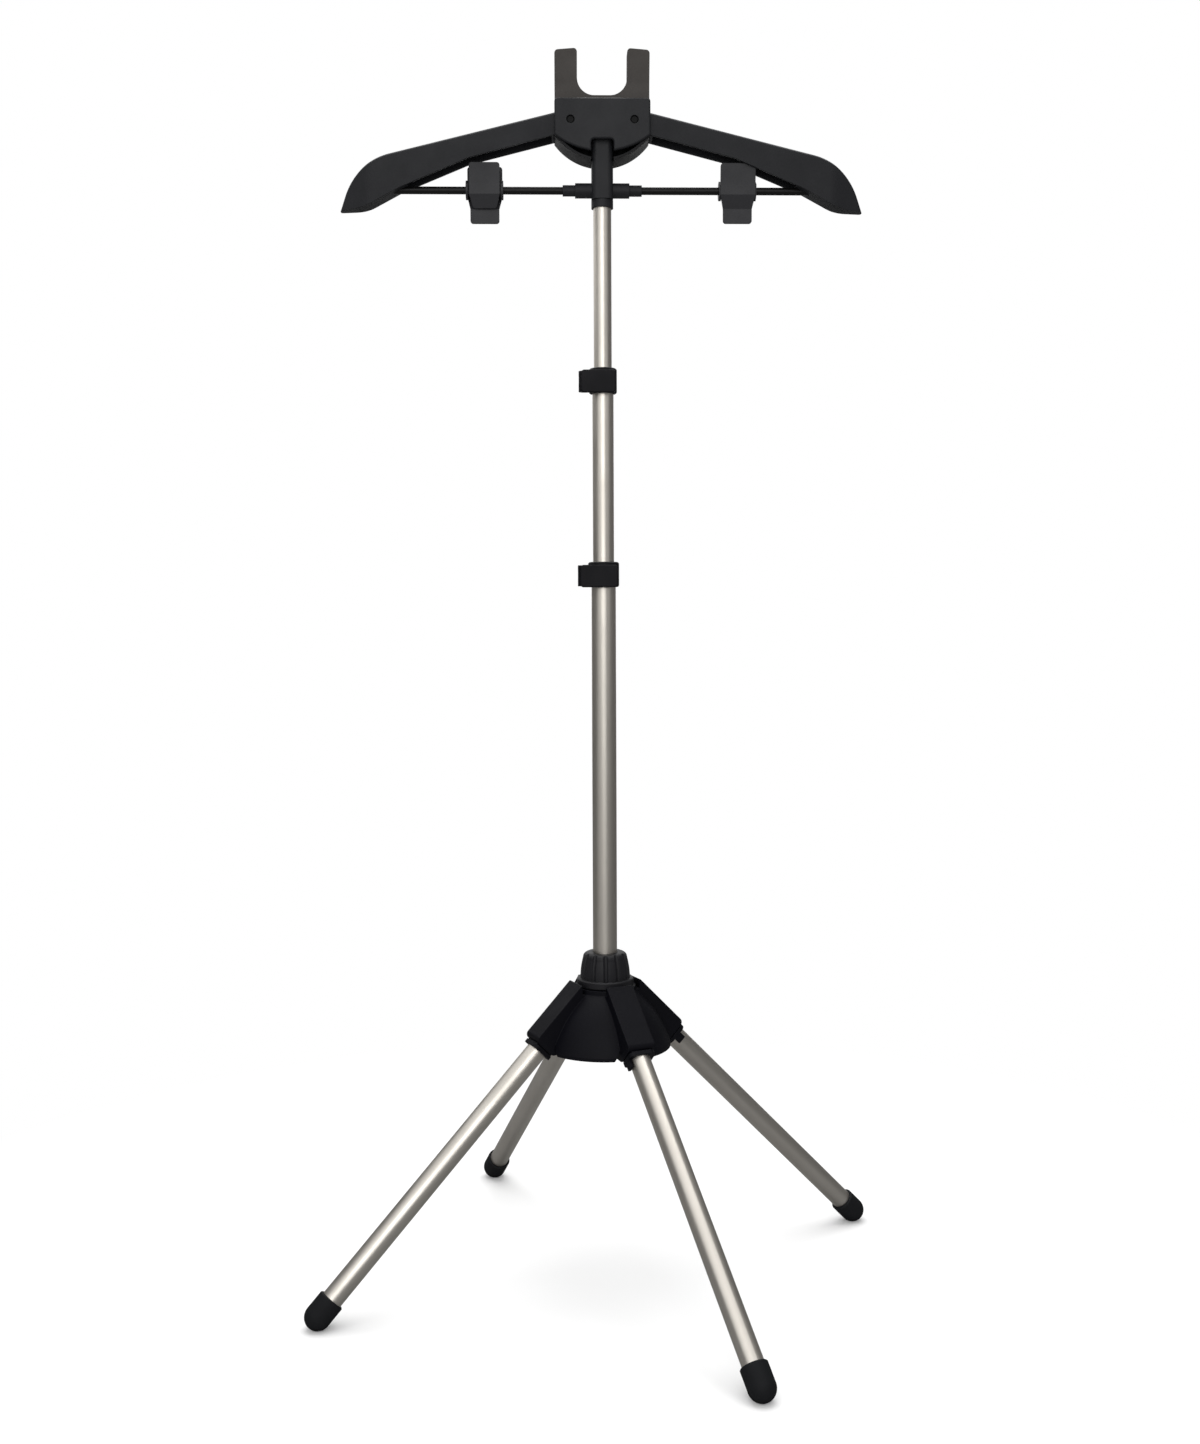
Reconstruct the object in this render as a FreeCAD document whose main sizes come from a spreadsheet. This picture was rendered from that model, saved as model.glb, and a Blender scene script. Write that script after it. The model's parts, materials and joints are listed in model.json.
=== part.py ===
import FreeCAD, Part
import math
import os
import Sketcher

# Garment steamer stand. Millimetres, +Z up, origin on the floor under the pole.
# The hanger runs along X and its front faces -Y.

Vector = FreeCAD.Vector
Rotation = FreeCAD.Rotation
Placement = FreeCAD.Placement
X_AXIS = Vector(1, 0, 0)
Y_AXIS = Vector(0, 1, 0)
Z_AXIS = Vector(0, 0, 1)

doc = FreeCAD.newDocument("GarmentSteamerStand")

# Driving dimensions: name, number, meaning
SIZES = [
    # Fits shared by all pieces
    ("fixed_fit", 0.05, "radial room of a piece fixed on or in another"),
    ("running_fit", 0.08, "radial room of a turning or sliding fit"),
    ("side_room", 0.3, "room beside a piece that moves"),
    ("small_chamfer", 1.0, "chamfered rims of the turned and moulded rings"),
    # Legs
    ("leg_diameter", 19.0, "leg tube, outside"),
    ("tube_wall", 1.0, "wall of every aluminium tube"),
    ("leg_splay", 45.0, "leg to the vertical, degrees"),
    ("leg_turn", 24.2, "front right leg from straight ahead, degrees"),
    ("pivot_radius", 30.0, "leg hinge from the pole's axis"),
    ("pivot_height", 256.0, "leg hinge above the floor"),
    ("leg_pin_diameter", 5.0, "leg hinge pin"),
    ("knuckle_height", 18.6, "leg knuckle across its flat sides, seen from the side"),
    ("knuckle_width", 19.6, "leg knuckle along its hinge pin"),
    ("channel_length", 50.5, "hinge to the open end of the hub's channel"),
    ("channel_wall", 2.9, "cheeks of the channel"),
    ("channel_roof", 3.4, "roof of the channel"),
    ("channel_below", 9.0, "cheeks below the leg's axis at the open end"),
    ("flange_gap", 1.2, "channel's end to the leg's flange"),
    ("flange_thickness", 3.6, "flange of the knuckle"),
    ("flange_height", 21.5, "flange, seen from the side"),
    ("flange_width", 25.5, "flange along the hinge pin"),
    ("flange_corner", 5.0, "corner radius of the flange"),
    ("tab_length", 7.0, "finger tab below the flange"),
    ("tab_thickness", 2.6, "finger tab"),
    ("tab_width", 8.0, "finger tab across the leg's side"),
    ("plug_length", 28.0, "knuckle's plug inside the leg tube"),
    ("foot_radius", 11.8, "rubber foot cap"),
    ("foot_grip", 18.0, "foot cap along the tube"),
    ("foot_floor", 1.0, "tube's end to the centre of the cap's round end"),
    ("sole_depth", 0.6, "flat worn into the cap's round end"),
    # Hub
    ("skirt_radius", 60.0, "rim of the bell skirt"),
    ("skirt_drop", 41.6, "rim below the leg hinges"),
    ("skirt_lip", 3.0, "upright part of the rim"),
    ("skirt_wall", 3.0, "bell skirt"),
    ("skirt_curve", 110.0, "radius of the bell's curve, seen from the side"),
    ("rim_corner_start", 41.0, "hinge to where the rim curves away beside a channel"),
    ("rim_corner_width", 12.0, "that curve, sideways from the channel"),
    ("rim_corner_bend", 14.0, "radius of that curve"),
    ("deck_radius", 28.0, "flat top of the hub"),
    ("deck_rise", 14.0, "flat top above the leg hinges"),
    ("deck_thickness", 4.0, "flat top"),
    ("core_radius", 16.0, "socket for the pole, outside"),
    ("core_drop", 37.0, "socket's lower end below the leg hinges"),
    ("core_floor", 5.0, "ledge under the pole"),
    ("ledge_width", 3.0, "ledge under the pole, inwards"),
    ("neck_radius", 15.3, "neck that carries the nut's thread"),
    ("neck_length", 14.0, "neck above the deck"),
    ("cone_depth", 12.0, "tapered seat of the collet"),
    ("cone_widening", 1.4, "tapered seat, added to the radius at its mouth"),
    ("collet_wall", 0.9, "collet at the small end of its taper"),
    ("collet_head", 5.0, "collet above the neck"),
    ("collet_slit", 2.0, "slit along the collet"),
    ("nut_rim_radius", 26.0, "plain rim of the lock nut"),
    ("nut_rim_height", 7.0, "plain rim of the lock nut"),
    ("nut_dome_radius", 22.8, "fluted dome at its foot"),
    ("nut_top_radius", 20.3, "fluted dome at its shoulder"),
    ("nut_shoulder", 5.0, "rounded top edge of the dome"),
    ("nut_height", 30.5, "whole lock nut"),
    ("flute_count", 12, "flutes round the dome"),
    ("flute_radius", 2.3, "flutes, in section"),
    ("flute_depth", 1.7, "flutes below the dome"),
    # Pole
    ("lower_tube_diameter", 22.0, "lower pole tube"),
    ("middle_tube_diameter", 19.0, "middle pole tube"),
    ("upper_tube_diameter", 16.0, "upper pole tube"),
    ("lower_clamp_height", 634.0, "lower clamp's bottom above the floor"),
    ("upper_clamp_height", 806.0, "upper clamp's bottom above the floor"),
    ("middle_tube_length", 408.0, "middle pole tube"),
    ("upper_tube_length", 435.0, "upper pole tube"),
    ("bush_length", 12.0, "guide bush below the tube's end"),
    ("bush_spigot", 12.0, "guide bush inside the tube"),
    ("bush_bore", 5.0, "radius of the hole through a guide bush"),
    ("clamp_height", 22.5, "clamp collar"),
    ("clamp_seat", 14.0, "outer tube inside the collar"),
    ("clamp_wall", 3.0, "collar round the outer tube"),
    ("clamp_slit", 2.5, "slit between the collar's ears"),
    ("ear_inset", 3.0, "ears below and above the collar's ends"),
    ("ear_drop", 8.0, "collar's radius less half the ears' thickness"),
    ("cam_radius", 5.4, "round head of the clamp lever"),
    ("cam_reach", 4.0, "cam's centre outside the collar's radius"),
    ("clamp_round", 2.0, "rounded rims of the collar"),
    ("lever_height", 20.0, "clamp lever along the pole"),
    ("lever_drop", 1.6, "middle of the lever below the middle of the collar"),
    ("lever_corner", 3.0, "corners of the lever's handle"),
    ("lever_thickness", 3.2, "handle of the clamp lever"),
    ("lever_pin_diameter", 3.0, "pin of the clamp lever"),
    ("eye_radius", 3.3, "eye of the clamp bolt"),
    ("eye_height", 6.0, "eye of the clamp bolt"),
    ("clamp_bolt_diameter", 4.0, "clamp bolt"),
    ("clamp_nut_flats", 7.0, "clamp nut across flats"),
    ("clamp_nut_height", 3.2, "clamp nut"),
    # Hanger head
    ("head_top", 1059.5, "head block's top above the floor"),
    ("rod_drop", 75.5, "trouser rods below the block's top"),
    ("ring_drop", 91.0, "lowest edge of the stem's end ring below the block's top"),
    ("ring_height", 7.0, "end ring of the stem"),
    ("ring_radius", 9.7, "end ring of the stem"),
    ("stem_width", 19.0, "stem, seen from the front"),
    ("stem_depth", 20.0, "stem, seen from the side"),
    ("stem_corner", 5.0, "corner radius of the stem"),
    ("stem_socket", 36.0, "upper tube inside the stem"),
    ("stem_drop", 21.5, "stem's top below the block's top"),
    ("boss_radius", 6.5, "wide step of the rod bosses"),
    ("boss_reach", 24.0, "wide step from the pole's axis"),
    ("boss_tip_radius", 4.85, "narrow step of the rod bosses"),
    ("boss_tip_reach", 35.0, "narrow step from the pole's axis"),
    ("head_width", 84.0, "head block"),
    ("head_depth", 36.0, "head block, front to back"),
    ("side_length", 31.5, "straight sides of the block"),
    ("front_sag", 14.0, "front cover's lower arc"),
    ("rear_sag", 21.0, "rear housing's lower arc"),
    ("head_wall", 3.7, "covers"),
    ("head_corner", 3.0, "corner radius of the covers"),
    ("head_edge", 1.6, "rounded edges of the covers"),
    ("notch_drop", 34.8, "top of the cover's notch for the stem below the block's top"),
    ("screw_spread", 28.0, "head screws from the middle"),
    ("screw_drop", 18.5, "head screws below the block's top"),
    ("stem_screw_drop", 31.5, "stem's screw below the block's top"),
    ("screw_diameter", 4.0, "head screws"),
    ("screw_head_diameter", 6.6, "head screws' heads"),
    ("screw_head_height", 1.5, "head screws' heads"),
    ("screw_recess", 2.4, "recess for the screw heads"),
    # Handset fork
    ("fork_gap", 44.0, "between the prongs"),
    ("fork_height", 44.0, "prongs above the block's top"),
    ("fork_floor", 5.5, "foot of the gap above the block's top"),
    ("fork_slope", 1.5, "prong tops fall outwards"),
    ("fork_fillet", 15.0, "round foot of the gap"),
    ("fork_thickness", 12.0, "prongs, front to back"),
    ("fork_lean", 7.0, "prong tops forwards"),
    ("fork_base", 10.5, "fork's base below the block's top"),
    ("fork_ear", 6.0, "ears of the base round the screws"),
    ("fork_ear_thickness", 4.7, "ears of the base"),
    ("fork_edge", 2.0, "rounded edges of the prongs"),
    # Arms
    ("arm_root", 13.0, "arm's inner end from the middle"),
    ("arm_depth", 28.0, "arm at its root, front to back"),
    ("arm_tip_depth", 22.5, "arm where its nose begins, front to back"),
    ("nose_length", 26.0, "rounded nose of the arm, seen from above"),
    ("nose_depth", 8.0, "arm's very tip, front to back"),
    ("nose_round", 30.0, "round of the nose, seen from above"),
    ("arm_wall", 2.4, "hollow arm"),
    ("arm_root_drop", 11.0, "arm's upper edge at the block below the block's top"),
    ("arm_root_height", 19.5, "arm at the block, up and down"),
    ("arm_shoulder_reach", 216.4, "corner of the shoulder from the middle"),
    ("arm_shoulder_drop", 42.2, "corner of the shoulder below the arm's root"),
    ("arm_shoulder_round", 56.0, "round of the shoulder"),
    ("arm_tip_reach", 231.0, "arm's tip from the middle"),
    ("arm_tip_drop", 41.5, "arm's tip below the shoulder"),
    ("blade_reach", 209.0, "bend of the blade's lower edge from the middle"),
    ("blade_rise", 2.4, "bend of the blade's lower edge above the arm's tip"),
    ("blade_round", 45.0, "round of the blade's lower edge"),
    ("arm_heel_reach", 178.0, "blade's inner end from the middle"),
    ("arm_heel_round", 4.0, "round of the blade's inner end"),
    ("arm_bend_reach", 117.0, "bend of the lower edge from the middle"),
    ("arm_bend_drop", 19.5, "bend of the lower edge below the arm's lower edge at the block"),
    ("arm_edge", 3.0, "rounded upper edges of the arm"),
    ("hollow_end", 172.0, "outer end of the arm's hollow"),
    # Trouser rods and clips
    ("rod_diameter", 6.6, "trouser rods"),
    ("rod_seat", 14.0, "rod inside the arm"),
    ("left_clip_place", -104.0, "left clip's middle"),
    ("right_clip_place", 120.0, "right clip's middle"),
    ("clip_width", 31.0, "long jaw at its handle"),
    ("clip_tip_width", 25.6, "long jaw's lower end"),
    ("short_clip_width", 27.0, "short jaw at its handle"),
    ("short_tip_width", 20.5, "short jaw's lower end"),
    ("clip_above", 22.3, "handles above the rod"),
    ("long_jaw_below", 28.5, "long jaw below the rod"),
    ("short_jaw_below", 16.0, "short jaw below the rod"),
    ("jaw_thickness", 2.4, "plates of the clip"),
    ("handle_spread", 9.2, "handles' outer faces from the rod's axis"),
    ("band_spread", 7.6, "jaws' outer faces beside the rod"),
    ("band_half", 4.5, "upright band beside the rod, up and down"),
    ("grip_gap", 0.4, "gap between the jaws where they grip"),
    ("jaw_corner", 2.5, "rounded corners of the clip jaws"),
    ("cheek_radius", 8.4, "long jaw's cheeks"),
    ("cheek_thickness", 2.0, "cheeks of the jaws"),
    ("ear_overhang", 1.0, "long jaw's cheeks beyond the handle, each side"),
    ("spring_wire", 1.1, "clip spring's wire"),
    ("spring_turns", 4, "whole turns of the clip spring, before its last half turn"),
    ("spring_pitch", 1.8, "clip spring, along the rod for each turn"),
    ("spring_leg", 12.0, "straight ends of the clip spring"),
]

sheet = doc.addObject("Spreadsheet::Sheet", "Sizes")
for row, (alias, number, meaning) in enumerate(SIZES, start=1):
    sheet.set(f"A{row}", meaning)
    sheet.set(f"B{row}", str(number))
    sheet.setAlias(f"B{row}", alias)
doc.recompute()


class Size:
    """A number together with the sheet expression that gives it."""

    def __init__(self, number, text):
        self.number = float(number)
        self.text = text

    def join(self, other, sign, number):
        return Size(number, f"({self.text} {sign} {as_size(other).text})")

    def __add__(self, other):
        return self.join(other, "+", self.number + as_size(other).number)

    def __sub__(self, other):
        return self.join(other, "-", self.number - as_size(other).number)

    def __mul__(self, other):
        return self.join(other, "*", self.number * as_size(other).number)

    def __truediv__(self, other):
        return self.join(other, "/", self.number / as_size(other).number)

    def __radd__(self, other):
        return as_size(other) + self

    def __rsub__(self, other):
        return as_size(other) - self

    def __rmul__(self, other):
        return as_size(other) * self

    def __neg__(self):
        return Size(-self.number, f"(0 - {self.text})")


def as_size(value):
    return value if isinstance(value, Size) else Size(value, repr(float(value)))


def sine(angle):
    return Size(math.sin(math.radians(angle.number)), f"sin({angle.text})")


def cosine(angle):
    return Size(math.cos(math.radians(angle.number)), f"cos({angle.text})")


class Sheet:
    """The driving dimensions by name, each as a Size."""

    def __getattr__(self, alias):
        return Size(sheet.get(alias), f"Sizes.{alias}")


size = Sheet()


# Drawing helpers

def new_body(label):
    body = doc.addObject("PartDesign::Body", label)
    body.Label = label
    return body


def origin_feature(body, role):
    return next(item for item in body.Origin.OriginFeatures if item.Role == role)


def new_sketch(body, plane, base=(0, 0, 0), turn=None):
    """A sketch on an origin plane, moved by base in the sketch's own axes and turned as (axis, angle)."""
    sketch = body.newObject("Sketcher::SketchObject", "Outline")
    sketch.AttachmentSupport = [(origin_feature(body, plane), "")]
    sketch.MapMode = "FlatFace"
    offsets = [as_size(value) for value in base]
    rotation = Rotation(turn[0], turn[1].number) if turn else Rotation()
    sketch.AttachmentOffset = Placement(Vector(*[value.number for value in offsets]), rotation)
    for name, value in zip("xyz", offsets):
        sketch.setExpression(f"AttachmentOffset.Base.{name}", value.text)
    if turn:
        sketch.setExpression("AttachmentOffset.Rotation.Angle", turn[1].text)
    return sketch


def bind(sketch, constraint, value):
    index = sketch.addConstraint(constraint)
    sketch.setExpression(f"Constraints[{index}]", value.text)


def place_point(sketch, geometry, position, x, y):
    bind(sketch, Sketcher.Constraint("DistanceX", -1, 1, geometry, position, x.number), x)
    bind(sketch, Sketcher.Constraint("DistanceY", -1, 1, geometry, position, y.number), y)


def corner(x, y, rounded=None, bend=None):
    """A corner of an outline: rounded is its radius, bend the radius of the arc to the next corner.

    A positive bend turns left along the outline, a negative one right."""
    return {
        "x": as_size(x),
        "y": as_size(y),
        "rounded": None if rounded is None else as_size(rounded),
        "bend": None if bend is None else as_size(bend),
    }


def flat_arc(centre, start, end, counter_clockwise):
    """An arc in the sketch plane, and which of its ends is the start of the outline's way."""
    first = math.atan2(start.y - centre.y, start.x - centre.x)
    last = math.atan2(end.y - centre.y, end.x - centre.x)
    circle = Part.Circle(centre, Z_AXIS, (start - centre).Length)
    if counter_clockwise:
        return Part.ArcOfCircle(circle, first, last), 1, 2
    return Part.ArcOfCircle(circle, last, first), 2, 1


def draw_outline(sketch, corners):
    """Draw a closed outline through the corners, each tied to the sheet."""
    count = len(corners)
    points = [Vector(item["x"].number, item["y"].number, 0) for item in corners]
    starts = list(points)
    ends = list(points)
    for i, item in enumerate(corners):
        if item["rounded"] is None:
            continue
        back = (points[i - 1] - points[i]).normalize()
        ahead = (points[(i + 1) % count] - points[i]).normalize()
        half = back.getAngle(ahead) / 2
        reach = item["rounded"].number / math.tan(half)
        ends[i] = points[i] + back * reach
        starts[i] = points[i] + ahead * reach
    edges = []
    for i, item in enumerate(corners):
        start = starts[i]
        end = ends[(i + 1) % count]
        if item["bend"] is None:
            edges.append((sketch.addGeometry(Part.LineSegment(start, end)), 1, 2))
            continue
        chord = end - start
        radius = abs(item["bend"].number)
        left = Vector(-chord.y, chord.x, 0).normalize()
        rise = math.sqrt(radius ** 2 - (chord.Length / 2) ** 2)
        turns_left = item["bend"].number > 0
        centre = start + chord * 0.5 + left * (rise if turns_left else -rise)
        arc, first, last = flat_arc(centre, start, end, turns_left)
        index = sketch.addGeometry(arc)
        edges.append((index, first, last))
        bound = item["bend"] if turns_left else -item["bend"]
        bind(sketch, Sketcher.Constraint("Radius", index, radius), bound)
    for i, item in enumerate(corners):
        before, _, before_end = edges[i - 1]
        after, after_start, _ = edges[i]
        if item["rounded"] is None:
            sketch.addConstraint(Sketcher.Constraint("Coincident", before, before_end, after, after_start))
            place_point(sketch, after, after_start, item["x"], item["y"])
            continue
        inward = (starts[i] - points[i]).normalize() + (ends[i] - points[i]).normalize()
        reach = (starts[i] - points[i]).Length
        span = math.hypot(reach, item["rounded"].number)
        centre = points[i] + inward.normalize() * span
        way_in = points[i] - points[i - 1]
        way_out = points[(i + 1) % count] - points[i]
        turns_left = way_in.cross(way_out).z > 0
        arc, first, last = flat_arc(centre, ends[i], starts[i], turns_left)
        index = sketch.addGeometry(arc)
        mark = sketch.addGeometry(Part.Point(points[i]))
        sketch.addConstraint(Sketcher.Constraint("Tangent", before, before_end, index, first))
        sketch.addConstraint(Sketcher.Constraint("Tangent", index, last, after, after_start))
        sketch.addConstraint(Sketcher.Constraint("PointOnObject", mark, 1, before))
        sketch.addConstraint(Sketcher.Constraint("PointOnObject", mark, 1, after))
        place_point(sketch, mark, 1, item["x"], item["y"])
        bind(sketch, Sketcher.Constraint("Radius", index, item["rounded"].number), item["rounded"])


def outline(body, plane, corners, base=(0, 0, 0), turn=None):
    sketch = new_sketch(body, plane, base, turn)
    draw_outline(sketch, corners)
    return sketch


def circles(body, plane, places, base=(0, 0, 0), turn=None):
    """A sketch of circles, each given as (x, y, radius)."""
    sketch = new_sketch(body, plane, base, turn)
    for x, y, radius in places:
        x, y, radius = as_size(x), as_size(y), as_size(radius)
        index = sketch.addGeometry(Part.Circle(Vector(x.number, y.number, 0), Z_AXIS, radius.number))
        place_point(sketch, index, 3, x, y)
        bind(sketch, Sketcher.Constraint("Radius", index, radius.number), radius)
    return sketch


def box_corners(x_low, x_high, y_low, y_high, rounded=None):
    return [
        corner(x_low, y_low, rounded),
        corner(x_high, y_low, rounded),
        corner(x_high, y_high, rounded),
        corner(x_low, y_high, rounded),
    ]


def feature(body, kind, sketch, length, both_ways=False, back=False):
    """A Pad or Pocket of a sketch, tied to the sheet."""
    made = body.newObject(f"PartDesign::{kind}", kind)
    made.Profile = sketch
    made.setExpression("Length", as_size(length).text)
    if both_ways:
        made.SideType = "Symmetric"
    made.Reversed = back
    doc.recompute()
    return made


def pad(body, sketch, length, both_ways=False, back=False):
    return feature(body, "Pad", sketch, length, both_ways, back)


def pocket(body, sketch, length, both_ways=False, back=False):
    """A Pocket that is known to have cut something away."""
    before = body.Shape.Volume
    made = feature(body, "Pocket", sketch, length, both_ways, back)
    if body.Shape.Volume > before - 0.01:
        raise RuntimeError(f"A pocket of {body.Label} cuts nothing")
    return made


def revolve(body, sketch):
    made = body.newObject("PartDesign::Revolution", "Revolution")
    made.Profile = sketch
    made.ReferenceAxis = (sketch, ["V_Axis"])
    made.Angle = 360
    doc.recompute()
    return made


def around(body, originals, count):
    """Repeat features evenly round the body's Z axis."""
    made = body.newObject("PartDesign::PolarPattern", "PolarPattern")
    made.Originals = originals
    made.Axis = (origin_feature(body, "Z_Axis"), [""])
    made.Angle = 360
    made.setExpression("Occurrences", as_size(count).text)
    body.Tip = made
    doc.recompute()
    return made


def mirrored(body, originals, plane):
    made = body.newObject("PartDesign::Mirrored", "Mirrored")
    made.Originals = originals
    made.MirrorPlane = (origin_feature(body, plane), [""])
    body.Tip = made
    doc.recompute()
    return made


def round_edges(body, radius, wanted):
    """Fillet the edges of the body's tip that the test wants."""
    tip = body.Tip
    names = [f"Edge{i}" for i, edge in enumerate(tip.Shape.Edges, start=1) if wanted(edge)]
    made = body.newObject("PartDesign::Fillet", "Fillet")
    made.Base = (tip, names)
    made.setExpression("Radius", as_size(radius).text)
    doc.recompute()
    return made


def lies_on(edge, axis, value, room=0.01):
    """True where the whole edge lies at one value of x, y or z."""
    low = getattr(edge.BoundBox, f"{axis}Min")
    high = getattr(edge.BoundBox, f"{axis}Max")
    return abs(low - value) < room and abs(high - value) < room


def group(label, members):
    made = doc.addObject("Part::Compound", label)
    made.Label = label
    made.Links = members
    return made


nodes = {}


def keep(item):
    nodes[item.Label] = item
    return item


# Values worked out from the driving dimensions

LEG_COUNT = 4
leg_radius = size.leg_diameter / 2
knuckle_half = size.knuckle_height / 2
leg_reach = (size.pivot_height - size.foot_radius + size.sole_depth) / cosine(size.leg_splay)
leg_tube_end = leg_reach - size.foot_floor
flange_start = size.channel_length + size.flange_gap
flange_end = flange_start + size.flange_thickness
slot_width = size.knuckle_width + 2 * size.side_room
channel_width = slot_width + 2 * size.channel_wall
slot_roof = knuckle_half + size.side_room
channel_top = slot_roof + size.channel_roof
deck_height = size.pivot_height + size.deck_rise
skirt_bottom = size.pivot_height - size.skirt_drop
core_bottom = size.pivot_height - size.core_drop
core_bore = size.lower_tube_diameter / 2 + size.running_fit
core_seat = core_bottom + size.core_floor
lower_tube_bottom = core_seat + size.side_room
lower_tube_top = size.lower_clamp_height + size.clamp_seat
middle_tube_top = size.upper_clamp_height + size.clamp_seat
middle_tube_bottom = middle_tube_top - size.middle_tube_length
nut_bottom = deck_height + size.side_room
neck_top = deck_height + size.neck_length
rod_height = size.head_top - size.rod_drop
ring_bottom = size.head_top - size.ring_drop
stem_top = size.head_top - size.stem_drop
head_side = size.head_top - size.side_length
notch_top = size.head_top - size.notch_drop
screw_height = size.head_top - size.screw_drop
stem_screw_height = size.head_top - size.stem_screw_drop
arm_root_top = size.head_top - size.arm_root_drop
arm_root_bottom = arm_root_top - size.arm_root_height
arm_shoulder_height = arm_root_top - size.arm_shoulder_drop
arm_tip_height = arm_shoulder_height - size.arm_tip_drop
blade_height = arm_tip_height + size.blade_rise
arm_bend_height = arm_root_bottom - size.arm_bend_drop
stem_bottom = ring_bottom + size.ring_height
upper_tube_top = stem_bottom + size.stem_socket
upper_tube_bottom = upper_tube_top - size.upper_tube_length
head_half = size.head_width / 2
cover_face = size.head_depth / 2
cover_inside = cover_face - size.head_wall
fork_bottom = size.head_top - size.fork_base
long_cheek_inside = size.clip_width / 2 + size.ear_overhang - size.cheek_thickness
short_cheek_inside = long_cheek_inside - size.side_room - size.cheek_thickness
short_cheek_radius = size.band_spread - size.jaw_thickness - size.side_room


def along_leg(reach, above):
    """Radius and height of a point in a leg's own plane, from its hinge along the leg and above its axis."""
    run = sine(size.leg_splay)
    rise = cosine(size.leg_splay)
    across = size.pivot_radius + run * reach + rise * above
    up = size.pivot_height - rise * reach + run * above
    return across, up


def leg_frame(index):
    """The frame of one leg: hinge at its origin, hinge pin along Y, leg along -Z."""
    turn = size.leg_turn.number - 90 + index * 360 / LEG_COUNT
    swing = Placement(Vector(), Rotation(Z_AXIS, turn))
    hinge = Placement(Vector(size.pivot_radius.number, 0, size.pivot_height.number), Rotation())
    lean = Placement(Vector(), Rotation(Y_AXIS, -size.leg_splay.number))
    return swing * hinge * lean


# Base

def make_base_hub():
    """Moulded hub: bell skirt, four leg channels, and a socket and neck for the pole."""
    body = new_body("base_hub")
    rim_top = skirt_bottom + size.skirt_lip
    under_deck = deck_height - size.deck_thickness
    inner_rim = size.skirt_radius - size.skirt_wall
    inner_deck = size.deck_radius - size.skirt_wall
    cone_foot = neck_top - size.cone_depth
    cone_small = core_bore + size.collet_wall
    sketch = outline(body, "XZ_Plane", [
        corner(core_bore - size.ledge_width, core_bottom),
        corner(size.core_radius, core_bottom),
        corner(size.core_radius, under_deck),
        corner(inner_deck, under_deck, bend=-size.skirt_curve),
        corner(inner_rim, rim_top),
        corner(inner_rim, skirt_bottom),
        corner(size.skirt_radius, skirt_bottom),
        corner(size.skirt_radius, rim_top, bend=size.skirt_curve),
        corner(size.deck_radius, under_deck),
        corner(size.deck_radius, deck_height),
        corner(size.neck_radius, deck_height),
        corner(size.neck_radius, neck_top),
        corner(cone_small + size.cone_widening, neck_top),
        corner(cone_small, cone_foot),
        corner(core_bore, cone_foot),
        corner(core_bore, core_seat),
        corner(core_bore - size.ledge_width, core_seat),
    ])
    revolve(body, sketch)

    corner_inner = channel_width / 2
    corner_outer = corner_inner + size.rim_corner_width
    over_x, over_z = along_leg(as_size(0), channel_top)
    rim_corners = outline(body, "XY_Plane", [
        corner(size.rim_corner_start, -corner_inner, bend=-size.rim_corner_bend),
        corner(size.channel_length, -corner_outer),
        corner(flange_end, -corner_outer),
        corner(flange_end, corner_outer),
        corner(size.channel_length, corner_outer, bend=-size.rim_corner_bend),
        corner(size.rim_corner_start, corner_inner),
    ], base=(over_x, 0, over_z), turn=(Y_AXIS, 90 - size.leg_splay))
    around(body, [pocket(body, rim_corners, channel_width)], LEG_COUNT)

    top_out, top_up = along_leg(size.channel_length, channel_top)
    low_out, low_up = along_leg(size.channel_length, -size.channel_below)
    crest_start = size.deck_radius + 1
    crest_out, crest_up = along_leg(-channel_top, channel_top)
    channel = outline(body, "XZ_Plane", [
        corner(core_bore + size.ledge_width, core_bottom),
        corner(low_out, low_up, rounded=size.channel_below / 2),
        corner(top_out, top_up, rounded=size.channel_below / 2),
        corner(crest_out, crest_up),
        corner(crest_start, crest_up),
        corner(crest_start, under_deck),
        corner(core_bore + size.ledge_width, under_deck),
    ])
    around(body, [pad(body, channel, channel_width, both_ways=True)], LEG_COUNT)

    slot_inside = size.pivot_radius - knuckle_half - size.side_room * 3
    slot_top = size.pivot_height + knuckle_half + size.side_room
    roof_start = slot_top - size.pivot_height
    roof_reach = slot_roof - roof_start / cosine(size.leg_splay)
    near_out, near_up = along_leg(roof_reach, slot_roof)
    far_out, far_up = along_leg(size.channel_length * 2, slot_roof)
    slot = outline(body, "XZ_Plane", [
        corner(slot_inside, far_up),
        corner(far_out, far_up),
        corner(near_out, near_up),
        corner(slot_inside, near_up),
    ])
    around(body, [pocket(body, slot, slot_width, both_ways=True)], LEG_COUNT)

    pin_hole = circles(body, "XZ_Plane", [
        (size.pivot_radius, size.pivot_height, size.leg_pin_diameter / 2 + size.fixed_fit)])
    around(body, [pocket(body, pin_hole, channel_width, both_ways=True)], LEG_COUNT)
    body.Placement = Placement(Vector(), Rotation(Z_AXIS, size.leg_turn.number - 90))
    return keep(body)


def make_leg_pins():
    """Four plain pins, one across each leg channel and held in by the skirt."""
    pins = []
    for index in range(LEG_COUNT):
        pin = new_body(f"leg_pin_{index + 1}")
        section = circles(pin, "XZ_Plane", [(0, 0, size.leg_pin_diameter / 2)])
        pad(pin, section, channel_width - 2 * size.fixed_fit, both_ways=True)
        pin.Placement = leg_frame(index)
        pins.append(pin)
    return keep(group("leg_pins", pins))


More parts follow.
